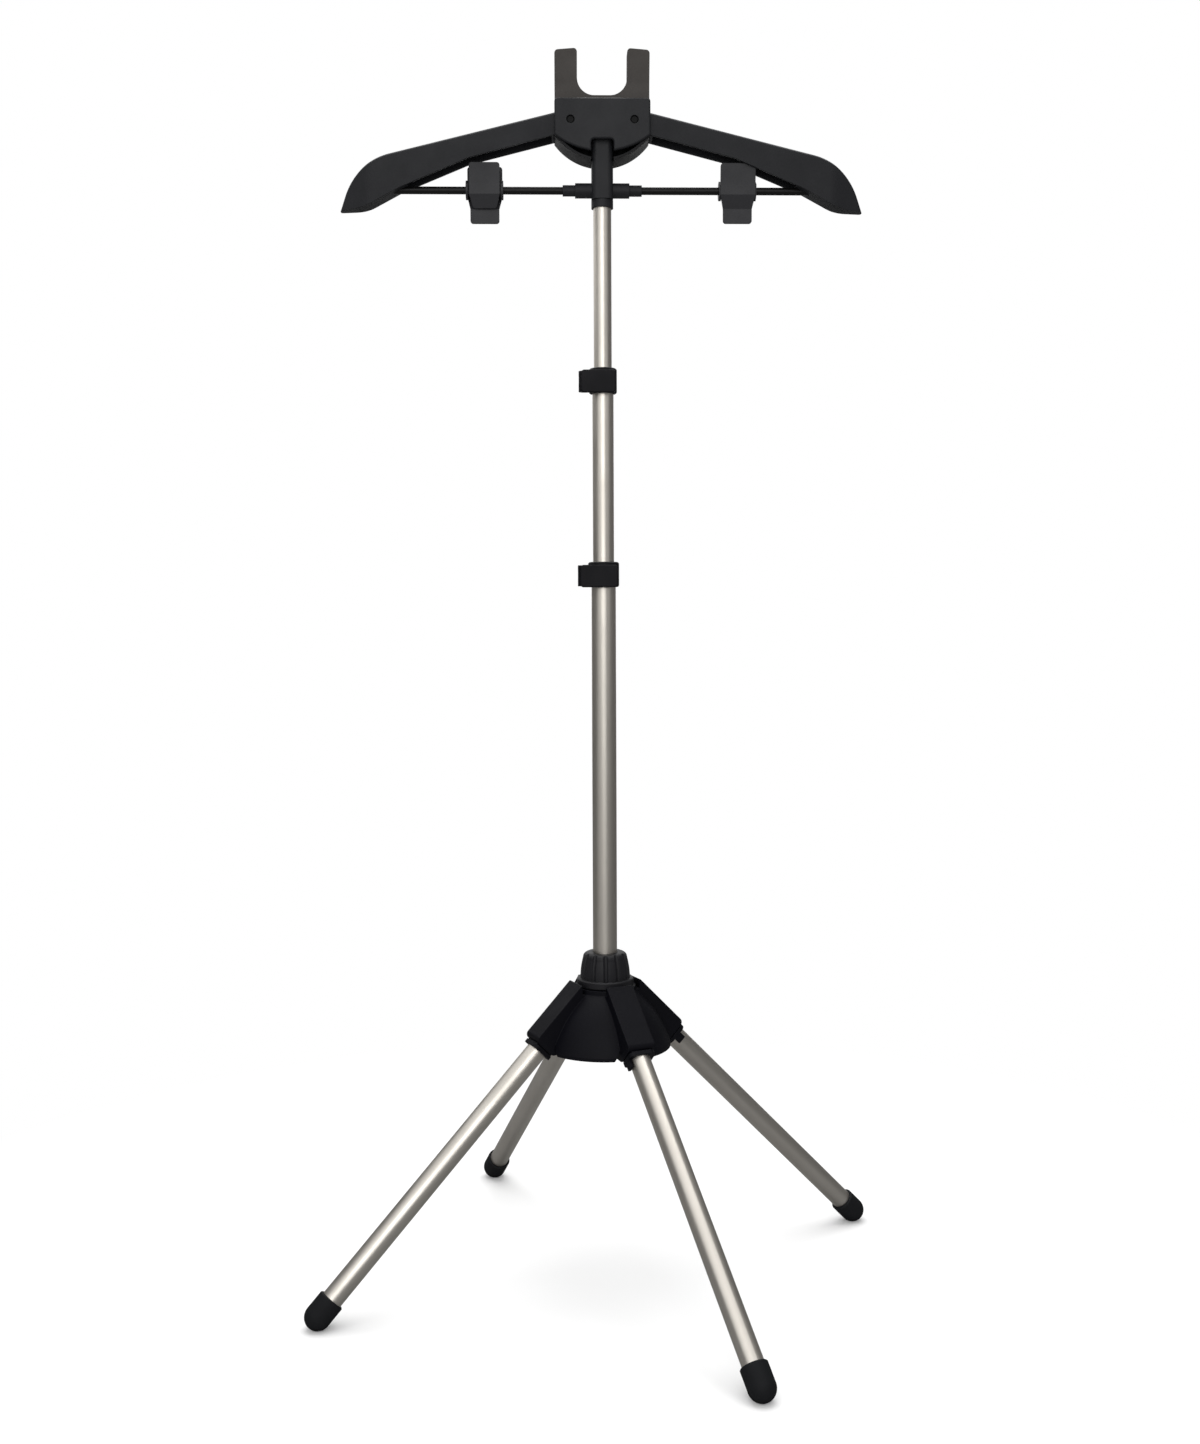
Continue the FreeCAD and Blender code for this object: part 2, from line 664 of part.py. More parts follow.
def make_leg_knuckle(index):
    """Moulded end of a leg: pivot eye and bar, flange with a finger tab, and a plug for the tube."""
    body = new_body(f"leg_knuckle_{index + 1}")
    bar = outline(body, "XZ_Plane", [
        corner(-knuckle_half, -flange_start),
        corner(knuckle_half, -flange_start),
        corner(knuckle_half, 0, bend=knuckle_half * 1.0001),
        corner(-knuckle_half, 0),
    ])
    pad(body, bar, size.knuckle_width, both_ways=True)
    flange = outline(body, "XY_Plane", box_corners(
        -size.flange_height / 2, size.flange_height / 2,
        -size.flange_width / 2, size.flange_width / 2, size.flange_corner), base=(0, 0, -flange_end))
    pad(body, flange, size.flange_thickness)
    tab_outer = size.flange_width / 2 - size.side_room
    tab = outline(body, "XY_Plane", box_corners(
        -size.tab_width / 2, size.tab_width / 2, -tab_outer, size.tab_thickness - tab_outer),
        base=(0, 0, -flange_end))
    pad(body, tab, size.tab_length, back=True)
    plug_radius = leg_radius - size.tube_wall - size.fixed_fit
    plug = circles(body, "XY_Plane", [(0, 0, plug_radius)], base=(0, 0, -flange_end))
    pad(body, plug, size.plug_length, back=True)
    hole = circles(body, "XZ_Plane", [(0, 0, size.leg_pin_diameter / 2 + size.running_fit)])
    pocket(body, hole, size.knuckle_width * 2, both_ways=True)
    body.Placement = leg_frame(index)
    return keep(body)


def make_tube(label, diameter, low, high):
    """A plain tube along Z."""
    body = new_body(label)
    sketch = circles(body, "XY_Plane", [
        (0, 0, diameter / 2), (0, 0, diameter / 2 - size.tube_wall)], base=(0, 0, low))
    pad(body, sketch, high - low)
    return keep(body)


def make_foot_cap(index):
    """Round-ended rubber cap with a flat sole where it stands."""
    body = new_body(f"foot_cap_{index + 1}")
    bore = leg_radius + size.fixed_fit
    mouth = size.foot_grip - leg_reach
    sketch = outline(body, "XZ_Plane", [
        corner(0, -leg_reach - size.foot_radius, bend=size.foot_radius),
        corner(size.foot_radius, -leg_reach),
        corner(size.foot_radius, mouth - size.small_chamfer),
        corner(size.foot_radius - size.small_chamfer, mouth),
        corner(bore, mouth),
        corner(bore, -leg_tube_end),
        corner(0, -leg_tube_end),
    ])
    revolve(body, sketch)
    drop = size.foot_radius - size.sole_depth
    sole = circles(body, "XY_Plane", [(0, 0, size.foot_radius)],
                   base=(-sine(size.leg_splay) * drop, 0, -leg_reach - cosine(size.leg_splay) * drop),
                   turn=(Y_AXIS, size.leg_splay))
    pocket(body, sole, size.foot_radius)
    body.Placement = leg_frame(index)
    return keep(body)


def make_leg(index):
    make_leg_knuckle(index)
    tube = make_tube(f"leg_tube_{index + 1}", size.leg_diameter, -leg_tube_end, -flange_end)
    tube.Placement = leg_frame(index)
    make_foot_cap(index)


def make_pole_collet():
    """Split tapered sleeve that the lock nut presses into the hub's neck."""
    body = new_body("pole_collet")
    inside = size.lower_tube_diameter / 2 + size.running_fit
    cone_small = core_bore + size.collet_wall - size.fixed_fit
    foot = neck_top - size.cone_depth + size.side_room
    head_radius = size.neck_radius - size.side_room
    sketch = outline(body, "XZ_Plane", [
        corner(inside, foot),
        corner(cone_small, foot),
        corner(cone_small + size.cone_widening - size.side_room / 4, neck_top),
        corner(head_radius, neck_top),
        corner(head_radius, neck_top + size.collet_head),
        corner(inside, neck_top + size.collet_head),
    ])
    revolve(body, sketch)
    slit = outline(body, "XY_Plane", box_corners(
        0, size.neck_radius, -size.collet_slit / 2, size.collet_slit / 2), base=(0, 0, foot - 1))
    pocket(body, slit, size.neck_length + size.collet_head + 2, back=True)
    return keep(body)


def make_pole_lock_nut():
    """Fluted dome nut that screws down over the hub's neck."""
    body = new_body("pole_lock_nut")
    top = nut_bottom + size.nut_height
    dome_foot = nut_bottom + size.nut_rim_height
    shoulder = top - size.nut_shoulder
    dome_rise = shoulder - dome_foot
    narrowing = size.nut_dome_radius - size.nut_top_radius
    dome_bend = (narrowing * narrowing + dome_rise * dome_rise) / (2 * narrowing)
    bore = size.neck_radius + size.side_room
    roof = neck_top + size.collet_head + size.side_room
    tube_hole = size.lower_tube_diameter / 2 + size.side_room
    sketch = outline(body, "XZ_Plane", [
        corner(bore, nut_bottom),
        corner(size.nut_rim_radius - size.small_chamfer, nut_bottom),
        corner(size.nut_rim_radius, nut_bottom + size.small_chamfer),
        corner(size.nut_rim_radius, dome_foot - size.small_chamfer),
        corner(size.nut_rim_radius - size.small_chamfer, dome_foot),
        corner(size.nut_dome_radius, dome_foot, bend=dome_bend),
        corner(size.nut_top_radius, shoulder, bend=size.nut_shoulder),
        corner(size.nut_top_radius - size.nut_shoulder, top),
        corner(tube_hole, top),
        corner(tube_hole, roof),
        corner(bore, roof),
    ])
    revolve(body, sketch)
    centre = size.nut_dome_radius - dome_bend
    flute_out = dome_bend + size.flute_radius - size.flute_depth
    flute = circles(body, "XY_Plane", [(flute_out, 0, size.flute_radius)],
                    base=(centre, 0, dome_foot))
    groove = body.newObject("PartDesign::Groove", "Groove")
    groove.Profile = flute
    groove.ReferenceAxis = (flute, ["V_Axis"])
    groove.Angle = 60
    groove.Reversed = True
    doc.recompute()
    around(body, [groove], size.flute_count)
    return keep(body)


# Pole

def make_bush(label, outer_diameter, inner_diameter, bottom):
    """Guide bush on the lower end of an inner tube, running in the outer tube."""
    body = new_body(label)
    collar = outer_diameter / 2 - size.tube_wall - size.running_fit
    spigot = inner_diameter / 2 - size.tube_wall - size.fixed_fit
    sketch = outline(body, "XZ_Plane", [
        corner(size.bush_bore, bottom - size.bush_length),
        corner(collar, bottom - size.bush_length),
        corner(collar, bottom),
        corner(spigot, bottom),
        corner(spigot, bottom + size.bush_spigot),
        corner(size.bush_bore, bottom + size.bush_spigot),
    ])
    revolve(body, sketch)
    return keep(body)


def make_clamp(prefix, outer_diameter, inner_diameter, bottom):
    """Split collar with ears, eye bolt and nut, and a cam lever on an upright pin."""
    collar_radius = outer_diameter / 2 + size.clamp_wall
    ear_half = collar_radius - size.ear_drop
    cam_x = -collar_radius - size.cam_reach
    cam_y = -ear_half - size.side_room - size.cam_radius
    middle = bottom + size.clamp_height / 2
    top = bottom + size.clamp_height

    collar = new_body(f"{prefix}_clamp_collar")
    grip = inner_diameter / 2 + size.running_fit
    seat = outer_diameter / 2 + size.fixed_fit
    sketch = outline(collar, "XZ_Plane", [
        corner(seat, bottom),
        corner(collar_radius, bottom, rounded=size.clamp_round),
        corner(collar_radius, top, rounded=size.clamp_round),
        corner(grip, top),
        corner(grip, bottom + size.clamp_seat),
        corner(seat, bottom + size.clamp_seat),
    ])
    revolve(collar, sketch)
    ear_tip = cam_x - size.cam_radius + size.side_room
    ears = outline(collar, "XY_Plane", box_corners(
        ear_tip, -seat - size.clamp_wall / 2, -ear_half, ear_half, size.tube_wall),
        base=(0, 0, bottom + size.ear_inset))
    pad(collar, ears, size.clamp_height - 2 * size.ear_inset)
    slit = outline(collar, "XY_Plane", box_corners(
        cam_x - size.cam_radius * 2, -grip / 2, -size.clamp_slit / 2, size.clamp_slit / 2),
        base=(0, 0, bottom - 1))
    pocket(collar, slit, size.clamp_height + 2, back=True)
    bolt_hole = circles(collar, "XZ_Plane", [
        (cam_x, middle, size.clamp_bolt_diameter / 2 + size.side_room)])
    pocket(collar, bolt_hole, ear_half * 4, both_ways=True)
    keep(collar)

    lever = new_body(f"{prefix}_clamp_lever")
    handle_inside = -collar_radius - size.side_room
    handle_front = handle_inside - size.lever_thickness
    lever_low = middle - size.lever_drop - size.lever_height / 2
    handle = outline(lever, "XZ_Plane", box_corners(
        cam_x - size.cam_radius * 0.6, collar_radius - size.clamp_wall / 2,
        lever_low, lever_low + size.lever_height, size.lever_corner), base=(0, 0, -handle_inside))
    pad(lever, handle, size.lever_thickness)
    round_edges(lever, size.small_chamfer, lambda edge: lies_on(edge, "Y", handle_front.number))
    cam = circles(lever, "XY_Plane", [(cam_x, cam_y, size.cam_radius)],
                  base=(0, 0, lever_low + size.small_chamfer))
    pad(lever, cam, size.lever_height - 2 * size.small_chamfer)
    eye_room = outline(lever, "XY_Plane", box_corners(
        cam_x - size.cam_radius * 2, cam_x + size.eye_radius + size.side_room * 2,
        cam_y - size.eye_radius - size.side_room * 2, as_size(0)),
        base=(0, 0, middle - size.eye_height / 2 - size.side_room))
    pocket(lever, eye_room, size.eye_height + 2 * size.side_room, back=True)
    pin_hole = circles(lever, "XY_Plane", [
        (cam_x, cam_y, size.lever_pin_diameter / 2 + size.running_fit)], base=(0, 0, lever_low - 1))
    pocket(lever, pin_hole, size.lever_height + 2, back=True)
    keep(lever)

    pin = new_body(f"{prefix}_clamp_pin")
    pin_circle = circles(pin, "XY_Plane", [(cam_x, cam_y, size.lever_pin_diameter / 2)],
                         base=(0, 0, lever_low + size.small_chamfer))
    pad(pin, pin_circle, size.lever_height - 2 * size.small_chamfer)
    keep(pin)

    bolt = new_body(f"{prefix}_clamp_bolt")
    eye = circles(bolt, "XY_Plane", [(cam_x, cam_y, size.eye_radius)],
                  base=(0, 0, middle - size.eye_height / 2))
    pad(bolt, eye, size.eye_height)
    shank_end = ear_half + size.clamp_nut_height + size.tube_wall
    shank = circles(bolt, "XZ_Plane", [(cam_x, middle, size.clamp_bolt_diameter / 2)],
                    base=(0, 0, -shank_end))
    pad(bolt, shank, shank_end - cam_y)
    eye_hole = circles(bolt, "XY_Plane", [
        (cam_x, cam_y, size.lever_pin_diameter / 2 + size.fixed_fit)],
        base=(0, 0, middle - size.eye_height))
    pocket(bolt, eye_hole, size.eye_height * 2, back=True)
    keep(bolt)

    nut = new_body(f"{prefix}_clamp_nut")
    point = size.clamp_nut_flats / math.sqrt(3)
    hexagon = [
        corner(cam_x + point * math.cos(math.radians(60 * i)),
               middle + point * math.sin(math.radians(60 * i)))
        for i in range(6)]
    nut_face = outline(nut, "XZ_Plane", hexagon, base=(0, 0, -ear_half - size.clamp_nut_height))
    pad(nut, nut_face, size.clamp_nut_height)
    nut_hole = circles(nut, "XZ_Plane", [
        (cam_x, middle, size.clamp_bolt_diameter / 2 + size.fixed_fit)], base=(0, 0, -ear_half))
    pocket(nut, nut_hole, size.clamp_nut_height * 2)
    keep(nut)


# Hanger head

def make_hanger_stem():
    """Socket on the upper tube, with stepped bosses for the trouser rods."""
    body = new_body("hanger_stem")
    half_width = size.stem_width / 2
    half_depth = size.stem_depth / 2
    section = outline(body, "XY_Plane", box_corners(
        -half_width, half_width, -half_depth, half_depth, size.stem_corner), base=(0, 0, stem_bottom))
    pad(body, section, stem_top - stem_bottom)
    for reach, radius in ((size.boss_reach, size.boss_radius), (size.boss_tip_reach, size.boss_tip_radius)):
        boss = circles(body, "YZ_Plane", [(0, rod_height, radius)])
        pad(body, boss, 2 * reach, both_ways=True)
    rod_hole = circles(body, "YZ_Plane", [(0, rod_height, size.rod_diameter / 2 + size.fixed_fit)])
    pocket(body, rod_hole, 2 * size.boss_tip_reach + 2, both_ways=True)
    tube_hole = circles(body, "XY_Plane", [
        (0, 0, size.upper_tube_diameter / 2 + size.fixed_fit)], base=(0, 0, stem_bottom))
    pocket(body, tube_hole, upper_tube_top - stem_bottom, back=True)
    screw_hole = circles(body, "XZ_Plane", [
        (0, stem_screw_height, size.screw_diameter / 2 + size.fixed_fit)], base=(0, 0, -half_depth))
    pocket(body, screw_hole, half_depth, back=True)
    return keep(body)


def make_stem_end_ring():
    body = new_body("stem_end_ring")
    sketch = circles(body, "XY_Plane", [
        (0, 0, size.ring_radius), (0, 0, size.upper_tube_diameter / 2 + size.fixed_fit)],
        base=(0, 0, ring_bottom))
    pad(body, sketch, size.ring_height)
    return keep(body)


def head_corners(sag):
    """Outline of a cover: straight sides, flat top and a lower arc of the given sag."""
    bend = (head_half * head_half + sag * sag) / (2 * sag)
    return [
        corner(-head_half, head_side, bend=bend),
        corner(head_half, head_side),
        corner(head_half, size.head_top, rounded=size.head_corner),
        corner(-head_half, size.head_top, rounded=size.head_corner),
    ]


def make_front_cover():
    """Front plate of the head, with a notch for the stem and two recessed screw holes."""
    body = new_body("head_front_cover")
    plate = outline(body, "XZ_Plane", head_corners(size.front_sag), base=(0, 0, cover_inside))
    pad(body, plate, size.head_wall)
    notch_half = size.stem_width / 2 + size.side_room
    notch = outline(body, "XZ_Plane", [
        corner(-notch_half, head_side - size.front_sag * 2),
        corner(notch_half, head_side - size.front_sag * 2),
        corner(notch_half, notch_top, rounded=size.head_corner),
        corner(-notch_half, notch_top, rounded=size.head_corner),
    ], base=(0, 0, cover_face))
    pocket(body, notch, size.head_wall)
    face = -cover_face.number
    round_edges(body, size.head_edge, lambda edge: lies_on(edge, "Y", face))
    shanks = circles(body, "XZ_Plane", [
        (side * size.screw_spread, screw_height, size.screw_diameter / 2 + size.fixed_fit)
        for side in (-1, 1)], base=(0, 0, cover_face))
    pocket(body, shanks, size.head_wall)
    heads = circles(body, "XZ_Plane", [
        (side * size.screw_spread, screw_height, size.screw_head_diameter / 2 + size.side_room)
        for side in (-1, 1)], base=(0, 0, cover_face))
    pocket(body, heads, size.screw_recess)
    return keep(body)


def make_rear_housing():
    """Back plate of the head with a curved lower wall, open at the sides for the arms."""
    body = new_body("head_rear_housing")
    front_edge = cover_inside
    depth = cover_face + front_edge
    shell = outline(body, "XZ_Plane", head_corners(size.rear_sag), base=(0, 0, -cover_face))
    pad(body, shell, depth)
    inner_half = head_half - size.head_wall
    inner_sag = size.rear_sag - size.head_wall / 2
    inner_bend = (inner_half * inner_half + inner_sag * inner_sag) / (2 * inner_sag)
    inside = outline(body, "XZ_Plane", [
        corner(-inner_half, head_side, bend=inner_bend),
        corner(inner_half, head_side),
        corner(inner_half, size.head_top + 1),
        corner(-inner_half, size.head_top + 1),
    ], base=(0, 0, front_edge))
    pocket(body, inside, depth - size.head_wall)
    sides = outline(body, "YZ_Plane", box_corners(
        -front_edge - 1, cover_inside, head_side - size.side_room, size.head_top + 1))
    pocket(body, sides, size.head_width + 2, both_ways=True)
    stem_room = outline(body, "XY_Plane", box_corners(
        -size.stem_width / 2 - size.side_room, size.stem_width / 2 + size.side_room,
        -front_edge - 1, size.stem_depth / 2 + size.side_room),
        base=(0, 0, head_side - size.rear_sag - 1))
    pocket(body, stem_room, size.rear_sag, back=True)
    back = cover_face.number
    round_edges(body, size.head_edge, lambda edge: lies_on(edge, "Y", back))
    stem_seat = circles(body, "XZ_Plane", [
        (0, stem_screw_height, size.screw_head_diameter / 2 + size.side_room * 4)],
        base=(0, 0, -cover_inside - size.side_room))
    pad(body, stem_seat, cover_inside + size.side_room - size.stem_depth / 2)
    shank = size.screw_diameter / 2 + size.fixed_fit
    front_shanks = circles(body, "XZ_Plane", [
        (side * size.screw_spread, screw_height, shank) for side in (-1, 1)],
        base=(0, 0, -cover_inside))
    pocket(body, front_shanks, size.head_wall - size.tube_wall)
    stem_shank = circles(body, "XZ_Plane", [(0, stem_screw_height, shank)], base=(0, 0, -cover_face))
    pocket(body, stem_shank, cover_face, back=True)
    recess = circles(body, "XZ_Plane", [
        (0, stem_screw_height, size.screw_head_diameter / 2 + size.side_room)], base=(0, 0, -cover_face))
    pocket(body, recess, size.screw_recess, back=True)
    return keep(body)


def make_screw(label, x, z, face, way, length):
    """A pan-headed screw along Y, its head near the given face and its shank running the given way."""
    body = new_body(label)
    shank = size.screw_diameter / 2
    head = size.screw_head_diameter / 2
    head_low = size.screw_recess - size.screw_head_height
    sketch = outline(body, "XZ_Plane", [
        corner(0, head_low),
        corner(head - size.small_chamfer / 2, head_low),
        corner(head, head_low + size.small_chamfer / 2),
        corner(head, size.screw_recess),
        corner(shank, size.screw_recess),
        corner(shank, length),
        corner(0, length),
    ])
    revolve(body, sketch)
    body.Placement = Placement(Vector(x.number, face.number, z.number), Rotation(X_AXIS, -90 * way))
    return body


def make_head_screws():
    """Two screws through the front cover and one from the back into the stem."""
    length = size.head_depth - size.tube_wall * 2
    stem_length = cover_face - size.tube_wall * 2
    screws = [
        make_screw("front_screw_left", -size.screw_spread, screw_height, -cover_face, 1, length),
        make_screw("front_screw_right", size.screw_spread, screw_height, -cover_face, 1, length),
        make_screw("rear_screw", as_size(0), stem_screw_height, cover_face, -1, stem_length),
    ]
    return keep(group("head_screws", screws))


def make_handset_fork():
    """Two prongs on a base that is held between the covers by the front screws."""
    body = new_body("handset_fork")
    half_base = head_half - size.side_room
    inner = size.fork_gap / 2
    top = size.head_top + size.fork_height
    gap_foot = size.head_top + size.fork_floor
    front = outline(body, "XZ_Plane", [
        corner(-half_base, fork_bottom),
        corner(half_base, fork_bottom),
        corner(half_base, top - size.fork_slope, rounded=size.head_corner),
        corner(inner, top, rounded=size.head_corner),
        corner(inner, gap_foot, rounded=size.fork_fillet),
        corner(-inner, gap_foot, rounded=size.fork_fillet),
        corner(-inner, top, rounded=size.head_corner),
        corner(-half_base, top - size.fork_slope, rounded=size.head_corner),
    ])
    base_half = cover_inside - size.side_room
    pad(body, front, 2 * base_half, both_ways=True)
    half = size.fork_thickness / 2
    lean_start = size.head_top + size.fork_height / 3
    beyond = base_half + 5
    over = top + 5
    ahead = outline(body, "YZ_Plane", [
        corner(-beyond, size.head_top),
        corner(-half, size.head_top),
        corner(-half, lean_start, rounded=size.fork_height / 2),
        corner(-half - size.fork_lean, over),
        corner(-beyond, over),
    ])
    pocket(body, ahead, size.head_width * 2, both_ways=True)
    behind = outline(body, "YZ_Plane", [
        corner(half, size.head_top),
        corner(beyond, size.head_top),
        corner(beyond, over),
        corner(half - size.fork_lean, over),
        corner(half, lean_start, rounded=size.fork_height / 2),
    ])
    pocket(body, behind, size.head_width * 2, both_ways=True)
    low_ear = screw_height - size.fork_ear
    ears = new_sketch(body, "XZ_Plane", (0, 0, base_half - size.fork_ear_thickness))
    for side in (-1, 1):
        draw_outline(ears, [
            corner(side * size.screw_spread - size.fork_ear, low_ear, rounded=size.fork_ear / 2),
            corner(side * size.screw_spread + size.fork_ear, low_ear, rounded=size.fork_ear / 2),
            corner(side * size.screw_spread + size.fork_ear, fork_bottom + 1),
            corner(side * size.screw_spread - size.fork_ear, fork_bottom + 1),
        ])
    pad(body, ears, size.fork_ear_thickness)
    holes = circles(body, "XZ_Plane", [
        (side * size.screw_spread, screw_height, size.screw_diameter / 2 + size.fixed_fit)
        for side in (-1, 1)], base=(0, 0, base_half + 1))
    pocket(body, holes, size.fork_ear_thickness + 2)
    return keep(body)


def arm_top_at(reach, below):
    """Height of the arm's straight upper edge at a distance from the middle, less a distance below."""
    fall = (arm_root_top - arm_shoulder_height) / (size.arm_shoulder_reach - head_half)
    return arm_root_top - (reach - head_half) * fall - below


def taper_plan(body, depth, tip_depth):
    """Cut the sides so that the arm narrows from its root to its tip."""
    room = size.arm_depth
    far = size.arm_tip_reach + 5
    narrowing = (tip_depth - size.nose_depth) / 2
    far_half = size.nose_depth / 2 - narrowing * (far - size.arm_tip_reach) / size.nose_length
    plan = new_sketch(body, "XY_Plane", (0, 0, arm_tip_height - room))
    for side in (-1, 1):
        draw_outline(plan, [
            corner(size.arm_root - 1, side * depth / 2),
            corner(size.arm_tip_reach - size.nose_length, side * tip_depth / 2, rounded=size.nose_round),
            corner(far, side * far_half),
            corner(far, side * room),
            corner(size.arm_root - 1, side * room),
        ])
    pocket(body, plan, arm_root_top - arm_tip_height + 2 * room, back=True)


def make_right_arm():
    """Hollow hanger arm, open below, with a closed blade that holds the trouser rod's end."""
    form = new_body("arm_form")
    heel_height = rod_height
    side_view = outline(form, "XZ_Plane", [
        corner(size.arm_root, head_side),
        corner(head_half, arm_root_bottom),
        corner(size.arm_bend_reach, arm_bend_height),
        corner(size.arm_heel_reach, heel_height, rounded=size.arm_heel_round),
        corner(size.blade_reach, blade_height, rounded=size.blade_round),
        corner(size.arm_tip_reach, arm_tip_height),
        corner(size.arm_shoulder_reach, arm_shoulder_height, rounded=size.arm_shoulder_round),
        corner(head_half, arm_root_top),
        corner(size.arm_root, arm_root_top),
    ])
    pad(form, side_view, size.arm_depth, both_ways=True)
    taper_plan(form, size.arm_depth, size.arm_tip_depth)
    round_edges(form, size.arm_edge, is_arm_crest)

    hollow = new_body("arm_hollow")
    hollow_start = head_half + size.arm_wall
    below = arm_tip_height - 5
    hollow_view = outline(hollow, "XZ_Plane", [
        corner(hollow_start, below),
        corner(size.hollow_end, below),
        corner(size.hollow_end, arm_top_at(size.hollow_end, size.arm_wall)),
        corner(hollow_start, arm_top_at(hollow_start, size.arm_wall)),
    ])
    inside = size.arm_depth - 2 * size.arm_wall
    pad(hollow, hollow_view, inside, both_ways=True)
    taper_plan(hollow, inside, size.arm_tip_depth - 2 * size.arm_wall)

    bores = new_body("arm_bores")
    rod_hole = circles(bores, "YZ_Plane", [
        (0, rod_height, size.rod_diameter / 2 + size.fixed_fit)], base=(0, 0, size.hollow_end - 1))
    pad(bores, rod_hole, size.arm_heel_reach + size.rod_seat - size.hollow_end + 1)

    screw_bore = new_body("arm_screw_bore")
    screw_hole = circles(screw_bore, "XZ_Plane", [
        (size.screw_spread, screw_height, size.screw_diameter / 2 + size.fixed_fit)])
    pad(screw_bore, screw_hole, size.head_depth, both_ways=True)

    ear_room = new_body("arm_ear_room")
    room_low = cover_inside - size.side_room - size.fork_ear_thickness - size.side_room
    room_view = outline(ear_room, "XZ_Plane", box_corners(
        size.arm_root - 1, head_half - size.side_room, head_side - 1, arm_root_top + 1),
        base=(0, 0, room_low))
    pad(ear_room, room_view, size.arm_depth)

    cutters = doc.addObject("Part::MultiFuse", "ArmCutters")
    cutters.Shapes = [hollow, bores, screw_bore, ear_room]
    arm = doc.addObject("Part::Cut", "right_arm")
    arm.Label = "right_arm"
    arm.Base = form
    arm.Tool = cutters
    doc.recompute()
    return keep(arm)


def is_arm_crest(edge):
    """True for the long edges along the top of an arm, from its root over the shoulder."""
    middle = edge.valueAt((edge.FirstParameter + edge.LastParameter) / 2)
    reach = min(max(middle.x, head_half.number), size.arm_shoulder_reach.number)
    near_top = middle.z > arm_top_at(as_size(reach), as_size(14)).number
    lengthways = edge.BoundBox.XLength > 4
    return lengthways and near_top


def make_left_arm(right_arm):
    arm = doc.addObject("Part::Mirroring", "left_arm")
    arm.Label = "left_arm"
    arm.Source = right_arm
    arm.Normal = X_AXIS
    doc.recompute()
    return keep(arm)


def make_trouser_rod(label, side):
    """Black rod from the stem's boss into the arm."""
    body = new_body(label)
    inner = size.stem_width / 2 + size.fixed_fit
    outer = size.arm_heel_reach + size.rod_seat - size.side_room
    section = circles(body, "YZ_Plane", [(0, rod_height, size.rod_diameter / 2)], base=(0, 0, side * inner))
    pad(body, section, outer - inner, back=side < 0)
    return keep(body)


# Trouser clips

def clip_frame(side):
    """Frame of a clip on its rod: the right clip is turned so that its long jaw faces forwards."""
    place = size.left_clip_place if side < 0 else size.right_clip_place
    turn = 0 if side < 0 else 180
    return Placement(Vector(place.number, 0, rod_height.number), Rotation(Z_AXIS, turn))


def jaw_corners(side, below, grip):
    """Side view of a jaw: handle leaning out, upright band at the rod, and lower part leaning in to grip."""
    wall = size.jaw_thickness
    lower = size.short_jaw_below
    points = [
        (size.handle_spread, size.clip_above),
        (size.band_spread, size.band_half),
        (size.band_spread, -size.band_half),
        (grip + wall, -lower),
    ]
    if below.text != lower.text:
        points.append((grip + wall, -below))
        points.append((grip, -below))
    points.append((grip, -lower))
    points.append((size.band_spread - wall, -size.band_half))
    points.append((size.band_spread - wall, size.band_half))
    points.append((size.handle_spread - wall, size.clip_above))
    return [corner(side * y, z) for y, z in points]


def make_jaw(label, frame, side, width, tip_width, below, cheek_radius, cheek_inside):
    """A clip jaw: bent plate with two cheeks that turn on the rod."""
    body = new_body(label)
    grip = size.grip_gap / 2
    plate = outline(body, "YZ_Plane", jaw_corners(side, below, grip))
    pad(body, plate, width, both_ways=True)
    narrow = (width - tip_width) / 2
    trims = new_sketch(body, "XZ_Plane", (0, 0, -size.handle_spread * 2))
    for edge in (-1, 1):
        outer = width / 2
        draw_outline(trims, [
            corner(edge * outer, -size.band_half),
            corner(edge * (outer - narrow), -size.short_jaw_below),
            corner(edge * (outer - narrow), -size.long_jaw_below - 1),
            corner(edge * (outer + 1), -size.long_jaw_below - 1),
            corner(edge * (outer + 1), -size.band_half),
        ])
    pocket(body, trims, size.handle_spread * 4, back=True)
    ends = (size.clip_above.number, -below.number)
    round_edges(body, size.jaw_corner, lambda edge: is_jaw_corner(edge, ends))
    cheek_shape = [
        corner(0, -cheek_radius, bend=-side * cheek_radius * 1.0001),
        corner(0, cheek_radius),
        corner(side * (size.band_spread - size.jaw_thickness / 2), size.band_half),
        corner(side * (size.band_spread - size.jaw_thickness / 2), -size.band_half),
    ]
    cheek = outline(body, "YZ_Plane", cheek_shape, base=(0, 0, cheek_inside))
    one = pad(body, cheek, size.cheek_thickness)
    mirrored(body, [one], "YZ_Plane")
    bore = circles(body, "YZ_Plane", [(0, 0, size.rod_diameter / 2 + size.running_fit)])
    pocket(body, bore, size.clip_width * 2, both_ways=True)
    body.Placement = frame
    return keep(body)


def is_jaw_corner(edge, ends):
    """True for the short edges across the plate at the corners of a jaw's upper and lower ends."""
    box = edge.BoundBox
    across = box.XLength < 0.01 and box.ZLength < 0.01
    return across and min(abs(box.ZMin - end) for end in ends) < 0.01


